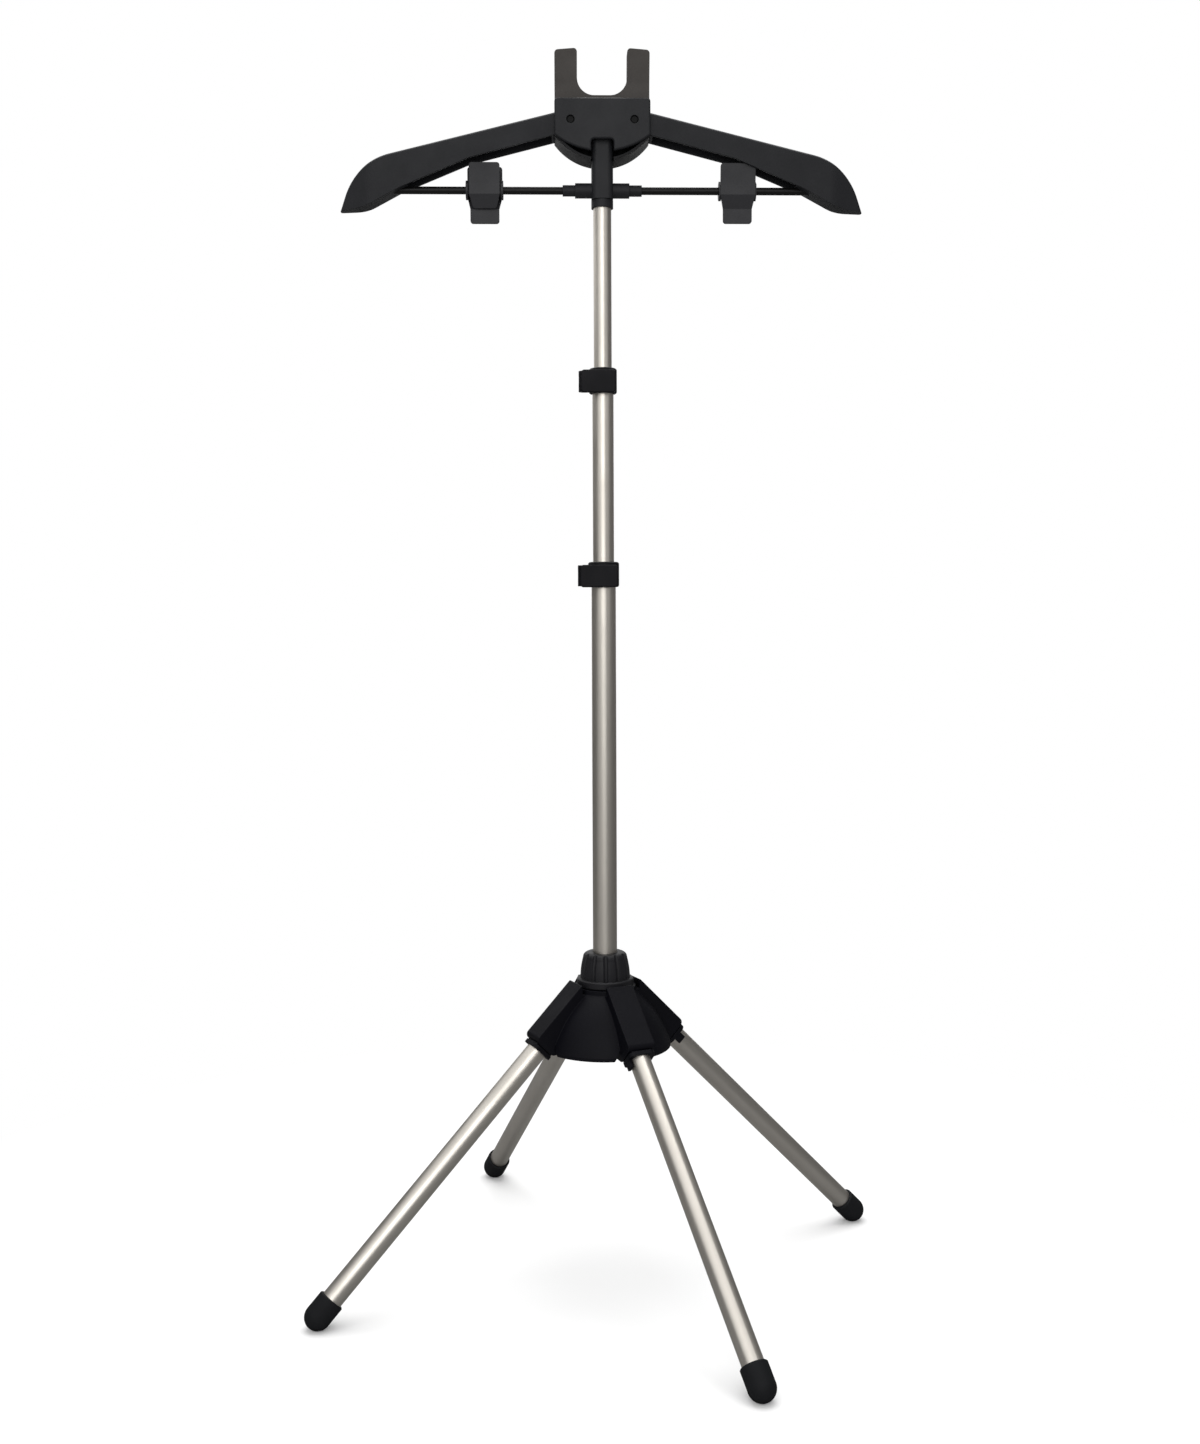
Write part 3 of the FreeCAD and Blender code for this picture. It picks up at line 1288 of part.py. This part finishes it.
def spring_path():
    """Centre line of a clip spring: coils round X and two straight ends that lie along the handles."""
    rise = (size.clip_above - size.band_half).number
    slope = math.atan2((size.handle_spread - size.band_spread).number, rise)
    face = (size.band_spread - size.jaw_thickness).number
    face_distance = face * math.cos(slope) - size.band_half.number * math.sin(slope)
    radius = face_distance - size.spring_wire.number / 2 - size.fixed_fit.number
    whole = (size.spring_turns.number + 0.5) * 2 * math.pi - 2 * slope
    steps = int(round(size.spring_turns.number * 4)) + 2
    length = size.spring_pitch.number * (size.spring_turns.number + 0.5)

    def on_coil(share):
        angle = -slope - share * whole
        return Vector((share - 0.5) * length, radius * math.cos(angle), radius * math.sin(angle))

    arcs = []
    for step in range(steps):
        ends = (on_coil(step / steps), on_coil((step + 0.5) / steps), on_coil((step + 1) / steps))
        arcs.append(Part.Arc(*ends))
    first = arcs[0]
    last = arcs[-1]
    leg = size.spring_leg.number
    start = first.StartPoint - first.tangent(first.FirstParameter)[0] * leg
    end = last.EndPoint + last.tangent(last.LastParameter)[0] * leg
    edges = [Part.LineSegment(start, first.StartPoint).toShape()]
    edges += [arc.toShape() for arc in arcs]
    edges.append(Part.LineSegment(last.EndPoint, end).toShape())
    return Part.Wire(edges), radius


def least_gap(path, radius):
    """Least room between the spring's wire and itself, more than half a turn apart along it."""
    points = path.discretize(Distance=size.spring_wire.number / 3)
    apart = int(math.pi * radius / (size.spring_wire.number / 3))
    nearest = min(
        (points[i] - points[j]).Length
        for i in range(len(points)) for j in range(i + apart, len(points)))
    return nearest - size.spring_wire.number


def make_spring(label, frame):
    """Torsion spring round the rod, between the cheeks, one unbroken wire."""
    path, radius = spring_path()
    first = path.OrderedEdges[0]
    start = first.valueAt(first.FirstParameter)
    way = first.tangentAt(first.FirstParameter)
    section = Part.Wire([Part.Circle(start, way, size.spring_wire.number / 2).toShape()])
    spring = doc.addObject("Part::Feature", label)
    spring.Label = label
    spring.Shape = path.makePipeShell([section], True, False)
    spring.Placement = frame
    plain_volume = path.Length * math.pi * size.spring_wire.number ** 2 / 4
    print(f"{label}: least gap to itself {least_gap(path, radius):.2f} mm, volume "
          f"{spring.Shape.Volume / plain_volume:.3f} of section times length")
    return keep(spring)


def make_clip(name, side):
    frame = clip_frame(side)
    make_jaw(f"{name}_clip_long_jaw", frame, 1, size.clip_width, size.clip_tip_width,
             size.long_jaw_below, size.cheek_radius, long_cheek_inside)
    make_jaw(f"{name}_clip_short_jaw", frame, -1, size.short_clip_width, size.short_tip_width,
             size.short_jaw_below, short_cheek_radius, short_cheek_inside)
    make_spring(f"{name}_clip_spring", frame)


# Assembly

make_base_hub()
make_leg_pins()
for leg in range(LEG_COUNT):
    make_leg(leg)
make_pole_collet()
make_pole_lock_nut()
make_tube("lower_tube", size.lower_tube_diameter, lower_tube_bottom, lower_tube_top)
make_clamp("lower", size.lower_tube_diameter, size.middle_tube_diameter, size.lower_clamp_height)
make_tube("middle_tube", size.middle_tube_diameter, middle_tube_bottom, middle_tube_top)
make_bush("middle_tube_bush", size.lower_tube_diameter, size.middle_tube_diameter, middle_tube_bottom)
make_clamp("upper", size.middle_tube_diameter, size.upper_tube_diameter, size.upper_clamp_height)
make_tube("upper_tube", size.upper_tube_diameter, upper_tube_bottom, upper_tube_top)
make_bush("upper_tube_bush", size.middle_tube_diameter, size.upper_tube_diameter, upper_tube_bottom)
make_hanger_stem()
make_stem_end_ring()
make_front_cover()
make_rear_housing()
make_head_screws()
make_handset_fork()
make_left_arm(make_right_arm())
make_trouser_rod("left_trouser_rod", -1)
make_trouser_rod("right_trouser_rod", 1)
make_clip("left", -1)
make_clip("right", 1)
doc.recompute()

# Every object has to be sound before anything is written
for item in doc.Objects:
    if "Invalid" in item.State or "Error" in item.State:
        raise RuntimeError(f"{item.Label} failed: {item.State}")
for label, item in nodes.items():
    if item.Shape.isNull() or not item.Shape.isValid():
        raise RuntimeError(f"{label} has no valid shape")

os.makedirs("parts", exist_ok=True)
for label, item in nodes.items():
    item.Shape.exportStep(f"parts/{label}.step")
    box = item.Shape.BoundBox
    print(f"{label}: {len(item.Shape.Solids)} solid, {item.Shape.Volume / 1000:.2f} cm3, "
          f"z {box.ZMin:.1f} to {box.ZMax:.1f}")
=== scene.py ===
import json
import math
import bpy
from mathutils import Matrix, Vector


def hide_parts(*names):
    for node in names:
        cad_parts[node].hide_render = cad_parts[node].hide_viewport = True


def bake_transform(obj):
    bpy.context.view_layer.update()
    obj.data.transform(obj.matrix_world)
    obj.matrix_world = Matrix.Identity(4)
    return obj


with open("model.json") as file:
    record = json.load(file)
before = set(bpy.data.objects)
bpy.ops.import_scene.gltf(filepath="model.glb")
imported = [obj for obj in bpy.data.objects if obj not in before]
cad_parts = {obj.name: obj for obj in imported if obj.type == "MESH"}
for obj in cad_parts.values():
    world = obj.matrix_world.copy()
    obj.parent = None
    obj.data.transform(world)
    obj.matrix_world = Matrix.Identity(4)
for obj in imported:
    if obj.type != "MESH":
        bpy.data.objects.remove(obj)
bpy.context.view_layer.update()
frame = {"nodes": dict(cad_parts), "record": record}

scene = bpy.context.scene
scene.view_settings.view_transform = "Standard"


# Material helpers

SURFACE_OUTPUTS = [
    ("Colour", "NodeSocketColor"),
    ("Roughness", "NodeSocketFloat"),
    ("Height", "NodeSocketFloat"),
]
NOISE_ROUGHNESS = 0.55
GRAIN_DEPTH = 0.0001
TOOTH_SCALE = 2600.0
TOOTH_DEPTH = 0.00005
TOOTH_BUMP = 0.08
BLOTCH_SCALE = 38.0
SHEEN_SCALE = 24.0
BEVEL_SAMPLES = 6
EDGE_WIDTH = 0.0008


def new_group(name, inputs, outputs):
    """A shader node group. Inputs are (name, socket type, value), and outputs (name, socket type)."""
    group = bpy.data.node_groups.new(name, "ShaderNodeTree")
    for socket_name, kind, value in inputs:
        socket = group.interface.new_socket(socket_name, in_out="INPUT", socket_type=kind)
        socket.default_value = value
    for socket_name, kind in outputs:
        group.interface.new_socket(socket_name, in_out="OUTPUT", socket_type=kind)
    entry = group.nodes.new("NodeGroupInput")
    leave = group.nodes.new("NodeGroupOutput")
    return group, entry, leave


def add_node(tree, kind, **values):
    node = tree.nodes.new(kind)
    for name, value in values.items():
        setattr(node, name, value)
    return node


def noise(tree, vector, scale, detail):
    node = add_node(tree, "ShaderNodeTexNoise")
    node.inputs["Detail"].default_value = detail
    node.inputs["Roughness"].default_value = NOISE_ROUGHNESS
    if isinstance(scale, (int, float)):
        node.inputs["Scale"].default_value = scale
    else:
        tree.links.new(scale, node.inputs["Scale"])
    tree.links.new(vector, node.inputs["Vector"])
    return node.outputs["Fac"]


def remap(tree, value, low, high, to_low, to_high):
    node = add_node(tree, "ShaderNodeMapRange")
    node.inputs["From Min"].default_value = low
    node.inputs["From Max"].default_value = high
    for name, end in (("To Min", to_low), ("To Max", to_high)):
        if isinstance(end, (int, float)):
            node.inputs[name].default_value = end
        else:
            tree.links.new(end, node.inputs[name])
    tree.links.new(value, node.inputs["Value"])
    return node.outputs["Result"]


def math_node(tree, operation, a, b):
    node = add_node(tree, "ShaderNodeMath", operation=operation)
    for index, value in enumerate((a, b)):
        if isinstance(value, (int, float)):
            node.inputs[index].default_value = value
        else:
            tree.links.new(value, node.inputs[index])
    return node.outputs["Value"]


def mix_colour(tree, factor, a, b):
    node = add_node(tree, "ShaderNodeMix", data_type="RGBA")
    tree.links.new(factor, node.inputs["Factor"])
    for socket, value in ((node.inputs[6], a), (node.inputs[7], b)):
        if isinstance(value, tuple):
            socket.default_value = value
        else:
            tree.links.new(value, socket)
    return node.outputs[2]


def make_moulded_surface():
    """Fine spark-eroded grain of moulded plastic, with faint blotches and paler, rubbed edges."""
    group, entry, leave = new_group(
        "moulded_surface",
        [("Colour", "NodeSocketColor", (0.03, 0.03, 0.03, 1)),
         ("Rubbed colour", "NodeSocketColor", (0.1, 0.1, 0.1, 1)),
         ("Grain scale", "NodeSocketFloat", 1800.0),
         ("Edge width", "NodeSocketFloat", EDGE_WIDTH),
         ("Dull", "NodeSocketFloat", 0.55),
         ("Bright", "NodeSocketFloat", 0.4)],
        SURFACE_OUTPUTS)
    place = add_node(group, "ShaderNodeTexCoord").outputs["Object"]
    grain = noise(group, place, entry.outputs["Grain scale"], detail=2.0)
    blotch = noise(group, place, BLOTCH_SCALE, detail=4.0)
    bevel = add_node(group, "ShaderNodeBevel", samples=BEVEL_SAMPLES)
    group.links.new(entry.outputs["Edge width"], bevel.inputs["Radius"])
    geometry = add_node(group, "ShaderNodeNewGeometry")
    turn = add_node(group, "ShaderNodeVectorMath", operation="DOT_PRODUCT")
    group.links.new(bevel.outputs["Normal"], turn.inputs[0])
    group.links.new(geometry.outputs["True Normal"], turn.inputs[1])
    edge = remap(group, turn.outputs["Value"], 0.98, 0.80, 0.0, 1.0)
    wear = math_node(group, "MULTIPLY", edge, remap(group, blotch, 0.42, 0.62, 0.25, 1.0))
    tone = mix_colour(group, wear, entry.outputs["Colour"], entry.outputs["Rubbed colour"])
    speck = remap(group, grain, 0.3, 0.7, 0.86, 1.14)
    cloud = remap(group, blotch, 0.3, 0.7, 0.93, 1.07)
    shade = add_node(group, "ShaderNodeVectorMath", operation="SCALE")
    group.links.new(tone, shade.inputs[0])
    group.links.new(math_node(group, "MULTIPLY", speck, cloud), shade.inputs["Scale"])
    gloss = remap(group, blotch, 0.3, 0.7, entry.outputs["Dull"], entry.outputs["Bright"])
    group.links.new(shade.outputs["Vector"], leave.inputs["Colour"])
    group.links.new(gloss, leave.inputs["Roughness"])
    group.links.new(grain, leave.inputs["Height"])
    return group


def make_drawn_metal():
    """Satin anodised tube: soft blotches in the sheen and a very fine tooth."""
    group, entry, leave = new_group(
        "drawn_metal",
        [("Colour", "NodeSocketColor", (0.6, 0.58, 0.54, 1)),
         ("Dull", "NodeSocketFloat", 0.38),
         ("Bright", "NodeSocketFloat", 0.28)],
        SURFACE_OUTPUTS)
    place = add_node(group, "ShaderNodeTexCoord").outputs["Object"]
    tooth = noise(group, place, TOOTH_SCALE, detail=2.0)
    cloud = noise(group, place, SHEEN_SCALE, detail=4.0)
    shade = add_node(group, "ShaderNodeVectorMath", operation="SCALE")
    group.links.new(entry.outputs["Colour"], shade.inputs[0])
    group.links.new(remap(group, cloud, 0.3, 0.7, 0.96, 1.04), shade.inputs["Scale"])
    gloss = remap(group, cloud, 0.3, 0.7, entry.outputs["Dull"], entry.outputs["Bright"])
    group.links.new(shade.outputs["Vector"], leave.inputs["Colour"])
    group.links.new(gloss, leave.inputs["Roughness"])
    group.links.new(tooth, leave.inputs["Height"])
    return group


moulded_surface = make_moulded_surface()
drawn_metal = make_drawn_metal()


def new_material(name):
    material = bpy.data.materials.new(name)
    material.use_nodes = True
    tree = material.node_tree
    return material, tree, tree.nodes["Principled BSDF"]


def place_group(tree, group, values):
    node = tree.nodes.new("ShaderNodeGroup")
    node.node_tree = group
    for name, value in values.items():
        node.inputs[name].default_value = value
    return node


def wire_surface(tree, surface, shader, bump_strength, bump_distance):
    tree.links.new(surface.outputs["Colour"], shader.inputs["Base Color"])
    tree.links.new(surface.outputs["Roughness"], shader.inputs["Roughness"])
    bump = tree.nodes.new("ShaderNodeBump")
    bump.inputs["Strength"].default_value = bump_strength
    bump.inputs["Distance"].default_value = bump_distance
    tree.links.new(surface.outputs["Height"], bump.inputs["Height"])
    tree.links.new(bump.outputs["Normal"], shader.inputs["Normal"])
    return bump


def plastic(name, colour, rubbed, dull, bright, shine=0.3, grain=1800.0, bump=0.25):
    """Moulded plastic, rubber or enamel. Dull and bright are the ends of its roughness."""
    material, tree, shader = new_material(name)
    surface = place_group(tree, moulded_surface, {
        "Colour": (*colour, 1), "Rubbed colour": (*rubbed, 1), "Grain scale": grain,
        "Edge width": EDGE_WIDTH, "Dull": dull, "Bright": bright})
    bump_node = wire_surface(tree, surface, shader, bump, GRAIN_DEPTH)
    soft_edge = add_node(tree, "ShaderNodeBevel", samples=BEVEL_SAMPLES)
    soft_edge.inputs["Radius"].default_value = EDGE_WIDTH
    tree.links.new(soft_edge.outputs["Normal"], bump_node.inputs["Normal"])
    shader.inputs["Specular IOR Level"].default_value = shine
    return material


def metal(name, colour, dull, bright):
    material, tree, shader = new_material(name)
    surface = place_group(tree, drawn_metal, {"Colour": (*colour, 1), "Dull": dull, "Bright": bright})
    wire_surface(tree, surface, shader, TOOTH_BUMP, TOOTH_DEPTH)
    shader.inputs["Metallic"].default_value = 1.0
    return material


finishes = {
    "anodised_tube": metal("satin_anodised_tube", (0.62, 0.585, 0.53), 0.42, 0.34),
    "spring_steel": metal("spring_wire", (0.56, 0.55, 0.53), 0.34, 0.24),
    "zinc_steel": metal("zinc_plated_steel", (0.52, 0.52, 0.50), 0.42, 0.30),
    "hanger_plastic": plastic("charcoal_hanger_plastic", (0.0090, 0.0093, 0.0108),
                              (0.016, 0.0165, 0.018), 0.54, 0.44, shine=0.18),
    "hub_plastic": plastic("black_hub_plastic", (0.0024, 0.0024, 0.0040), (0.007, 0.007, 0.010),
                           0.56, 0.46, shine=0.09),
    "clamp_plastic": plastic("black_clamp_plastic", (0.0026, 0.0024, 0.0036), (0.007, 0.007, 0.009),
                             0.50, 0.40, shine=0.11),
    "bush_plastic": plastic("grey_bush_plastic", (0.10, 0.10, 0.10), (0.16, 0.16, 0.16), 0.55, 0.45),
    "rubber_foot": plastic("black_foot_rubber", (0.0052, 0.0056, 0.0066), (0.010, 0.0105, 0.0115),
                           0.72, 0.58, shine=0.12, grain=2400.0, bump=0.4),
    "black_rod": plastic("black_rod_enamel", (0.0040, 0.0038, 0.0038), (0.008, 0.008, 0.008),
                         0.40, 0.30, shine=0.16, bump=0.1),
    "black_screw": plastic("black_oxide_screw", (0.0020, 0.0020, 0.0022), (0.004, 0.004, 0.004),
                           0.50, 0.40, shine=0.1, bump=0.1),
}

# Pieces that differ from the finish of their slot; the arm, leg, fork and rear housing finishes are
# copies with painted light and shade
clip_finish = plastic("grey_clip_plastic", (0.0150, 0.0150, 0.0170), (0.022, 0.022, 0.024),
                      0.50, 0.40, shine=0.22)
# Painted shade: the arms get a darker copy of the hanger plastic, so that they render as dark as the
# head cover
arm_painted_shade_finish = plastic("arm_plastic_painted_shade", (0.0076, 0.0079, 0.0094), (0.014, 0.0145, 0.016),
                     0.54, 0.44, shine=0.165)
# Painted light: the legs get a lighter copy of the anodised tube metal, so that they render brighter
leg_painted_light_finish = metal("leg_tube_painted_light", (0.66, 0.625, 0.57), 0.42, 0.34)
by_node = {
    "left_arm": arm_painted_shade_finish,
    "right_arm": arm_painted_shade_finish,
    "leg_tube_1": leg_painted_light_finish,
    "leg_tube_2": leg_painted_light_finish,
    "leg_tube_3": leg_painted_light_finish,
    "leg_tube_4": leg_painted_light_finish,
    "left_clip_long_jaw": clip_finish,
    "left_clip_short_jaw": clip_finish,
    "right_clip_long_jaw": clip_finish,
    "right_clip_short_jaw": clip_finish,
    "pole_lock_nut": plastic("black_nut_plastic", (0.0072, 0.0070, 0.0086), (0.013, 0.013, 0.015),
                             0.52, 0.42, shine=0.2),
    # Painted reflection: the fork gets a paler, warmer copy of the hanger plastic for the brownish
    # reflection on its prongs
    "handset_fork": plastic("fork_plastic_painted_reflection", (0.034, 0.030, 0.027), (0.044, 0.040, 0.036),
                            0.56, 0.46, shine=0.2),
    # Painted shade: the rear housing gets a darker copy of the hanger plastic, for its shaded underside
    # below the cover
    "head_rear_housing": plastic("housing_plastic_painted_shade", (0.0050, 0.0050, 0.0058),
                                 (0.010, 0.010, 0.011), 0.56, 0.46, shine=0.14),
}

slot_of = {item["node"]: item["material_slot"] for item in frame["record"]["subparts"]}
for node, piece in frame["nodes"].items():
    for material_slot in piece.material_slots:
        material_slot.material = by_node.get(node, finishes[slot_of[node]])


# Clip springs: each wire is a coil swept round the trouser rod, and it stands in place of the clip
# spring part, which is hidden

ROD_HEIGHT = 0.984
LEFT_CLIP = -0.104
RIGHT_CLIP = 0.120
COIL_RADIUS = 0.00418
COIL_LENGTH = 0.0081
COIL_TURNS = 4.5
HANDLE_LEAN = 0.0896
WIRE_RADIUS = 0.00055
WIRE_END = 0.012
STEPS_A_TURN = 28


def coil_line():
    """Centre line of a clip spring round the X axis, from the long jaw's end to the short jaw's."""
    swept = COIL_TURNS * 2 * math.pi - 2 * HANDLE_LEAN
    steps = round(COIL_TURNS * STEPS_A_TURN)
    points = []
    for step in range(steps + 1):
        share = step / steps
        angle = -HANDLE_LEAN - share * swept
        along = (share - 0.5) * COIL_LENGTH
        points.append(Vector((along, COIL_RADIUS * math.cos(angle), COIL_RADIUS * math.sin(angle))))
    first_way = (points[0] - points[1]).normalized()
    last_way = (points[-1] - points[-2]).normalized()
    return [points[0] + first_way * WIRE_END] + points + [points[-1] + last_way * WIRE_END]


def make_clip_spring(side, place, facing):
    """A torsion spring round the trouser rod; facing is 1, or -1 for the clip that is turned about."""
    curve = bpy.data.curves.new(f"{side}_spring_wire", "CURVE")
    curve.dimensions = "3D"
    curve.bevel_depth = WIRE_RADIUS
    curve.bevel_resolution = 3
    curve.use_fill_caps = True
    line = coil_line()
    spline = curve.splines.new("POLY")
    spline.points.add(len(line) - 1)
    for point, (x, y, z) in zip(spline.points, line):
        point.co = (place + facing * x, facing * y, ROD_HEIGHT + z, 1)
    wire = bpy.data.objects.new(f"{side}_spring_wire", curve)
    scene.collection.objects.link(wire)
    bpy.ops.object.select_all(action="DESELECT")
    bpy.context.view_layer.objects.active = wire
    wire.select_set(True)
    bpy.ops.object.convert(target="MESH")
    bpy.ops.object.shade_smooth()
    wire = bpy.context.active_object
    wire.data.materials.clear()
    wire.data.materials.append(finishes["spring_steel"])
    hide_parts(f"{side}_clip_spring")
    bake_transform(wire)


make_clip_spring("left", LEFT_CLIP, 1)
make_clip_spring("right", RIGHT_CLIP, -1)


# Studio

SKY_LIGHT = 0.8
FLOOR_RADIUS = 9.0
FLOOR_TONE = 0.86
FADE_START = 0.26
FADE_END = 0.80


def white_where_seen(tree, shader, strength_elsewhere):
    """White for the camera and in reflections, and a plain level as light."""
    rays = tree.nodes.new("ShaderNodeLightPath")
    glossy = rays.outputs["Is Glossy Ray"]
    mirrored = math_node(tree, "MAXIMUM", glossy, rays.outputs["Is Transmission Ray"])
    seen = math_node(tree, "MAXIMUM", rays.outputs["Is Camera Ray"], mirrored)
    level = remap(tree, seen, 0.0, 1.0, strength_elsewhere, 1.0)
    tree.links.new(level, shader.inputs["Strength"])


world = bpy.data.worlds.new("studio")
world.use_nodes = True
scene.world = world
background = world.node_tree.nodes["Background"]
background.inputs["Color"].default_value = (1, 1, 1, 1)
white_where_seen(world.node_tree, background, SKY_LIGHT)

# The floor is lit near the stand, and fades to plain white around it
bpy.ops.mesh.primitive_circle_add(vertices=96, radius=FLOOR_RADIUS, fill_type="NGON", location=(0, 0, 0))
floor = bpy.context.active_object
floor.name = "studio_floor"
floor_material, floor_tree, floor_shader = new_material("pale_floor")
floor_shader.inputs["Base Color"].default_value = (FLOOR_TONE, FLOOR_TONE, FLOOR_TONE, 1)
floor_shader.inputs["Roughness"].default_value = 0.9
floor.data.materials.append(floor_material)
glow = floor_tree.nodes.new("ShaderNodeEmission")
fade = floor_tree.nodes.new("ShaderNodeMixShader")
spot = floor_tree.nodes.new("ShaderNodeTexCoord")
away = add_node(floor_tree, "ShaderNodeVectorMath", operation="LENGTH")
floor_tree.links.new(spot.outputs["Object"], away.inputs[0])
whiteness = remap(floor_tree, away.outputs["Value"], FADE_START, FADE_END, 0.0, 1.0)
floor_tree.links.new(whiteness, fade.inputs["Fac"])
floor_tree.links.new(floor_shader.outputs["BSDF"], fade.inputs[1])
floor_tree.links.new(glow.outputs["Emission"], fade.inputs[2])
floor_tree.links.new(fade.outputs["Shader"], floor_tree.nodes["Material Output"].inputs["Surface"])


UPRIGHT = math.pi / 2
SIDEWAYS = math.pi / 2
FLAT = 0


def flag_colour(name, level):
    material, _, shader = new_material(name)
    shader.inputs["Base Color"].default_value = (level, level, level, 1)
    shader.inputs["Roughness"].default_value = 1.0
    shader.inputs["Specular IOR Level"].default_value = 0.0
    return material


def dark_flag(name, colour, place, width, height, turn, lean=UPRIGHT):
    """A dark board that only reflections see: it gives the tubes and the undersides their dark tones."""
    bpy.ops.mesh.primitive_plane_add(size=1.0, location=(0, 0, 0))
    flag = bpy.context.active_object
    flag.name = name
    flag.scale = (width, height, 1)
    flag.rotation_euler = (lean, 0, turn)
    flag.location = place
    flag.data.materials.append(colour)
    flag.visible_camera = False
    flag.visible_diffuse = False
    flag.visible_shadow = False


black_flag = flag_colour("black_flag", 0.11)
grey_flag = flag_colour("grey_flag", 0.18)
dark_flag("left_flag", black_flag, (-1.3, 1.0, 0.3), 3.0, 1.6, SIDEWAYS)
dark_flag("right_flag", black_flag, (1.3, 1.0, 1.0), 3.0, 3.0, SIDEWAYS)
dark_flag("front_flag", black_flag, (0, -3.4, 1.4), 5.0, 4.0, 0)
dark_flag("front_left_flag", black_flag, (-2.9, -2.2, 1.4), 3.0, 4.0, math.radians(127))
dark_flag("front_right_flag", black_flag, (2.9, -2.2, 1.4), 3.0, 4.0, math.radians(53))
dark_flag("floor_flag", grey_flag, (0, -1.0, 0.002), 4.0, 4.4, 0, lean=FLAT)
dark_flag("right_floor_flag", black_flag, (1.9, -1.0, 0.004), 2.8, 4.4, 0, lean=FLAT)
dark_flag("rear_floor_flag", black_flag, (0, 4.7, 0.002), 9.0, 7.0, 0, lean=FLAT)


def soft_box(name, place, aim, width, height, power):
    """A rectangular lamp of that many watts, turned to face the aim."""
    light = bpy.data.lights.new(name, "AREA")
    light.shape = "RECTANGLE"
    light.size = width
    light.size_y = height
    light.energy = power
    lamp = bpy.data.objects.new(name, light)
    scene.collection.objects.link(lamp)
    lamp.location = place
    way = [end - start for start, end in zip(place, aim)]
    flat = math.hypot(way[0], way[1])
    lamp.rotation_euler = (math.atan2(flat, -way[2]), 0, math.atan2(way[1], way[0]) - math.pi / 2)


soft_box("key_light", (-0.25, -3.0, 1.5), (0, 0, 1.0), 2.3, 2.2, 41)
soft_box("left_light", (-2.1, -2.1, 1.5), (0, 0, 0.8), 1.6, 1.9, 10)
soft_box("right_light", (2.1, -2.1, 1.5), (0, 0, 0.8), 1.6, 1.9, 6)
soft_box("top_light", (0, 0.4, 2.8), (0, 0, 0), 2.2, 2.2, 44)

# The camera's place, turn in degrees and lens in millimetres were fitted to the photograph
CAMERA_PLACE = (-0.0455, -1.4473, 0.617)
CAMERA_TURN = (85.85, 0.23, -1.667)
CAMERA_LENS = 39.86
SENSOR_WIDTH = 36

camera = bpy.data.cameras.new("camera")
camera.sensor_width = SENSOR_WIDTH
camera.lens = CAMERA_LENS
view_point = bpy.data.objects.new("camera", camera)
scene.collection.objects.link(view_point)
view_point.location = CAMERA_PLACE
view_point.rotation_euler = [math.radians(angle) for angle in CAMERA_TURN]
scene.camera = view_point
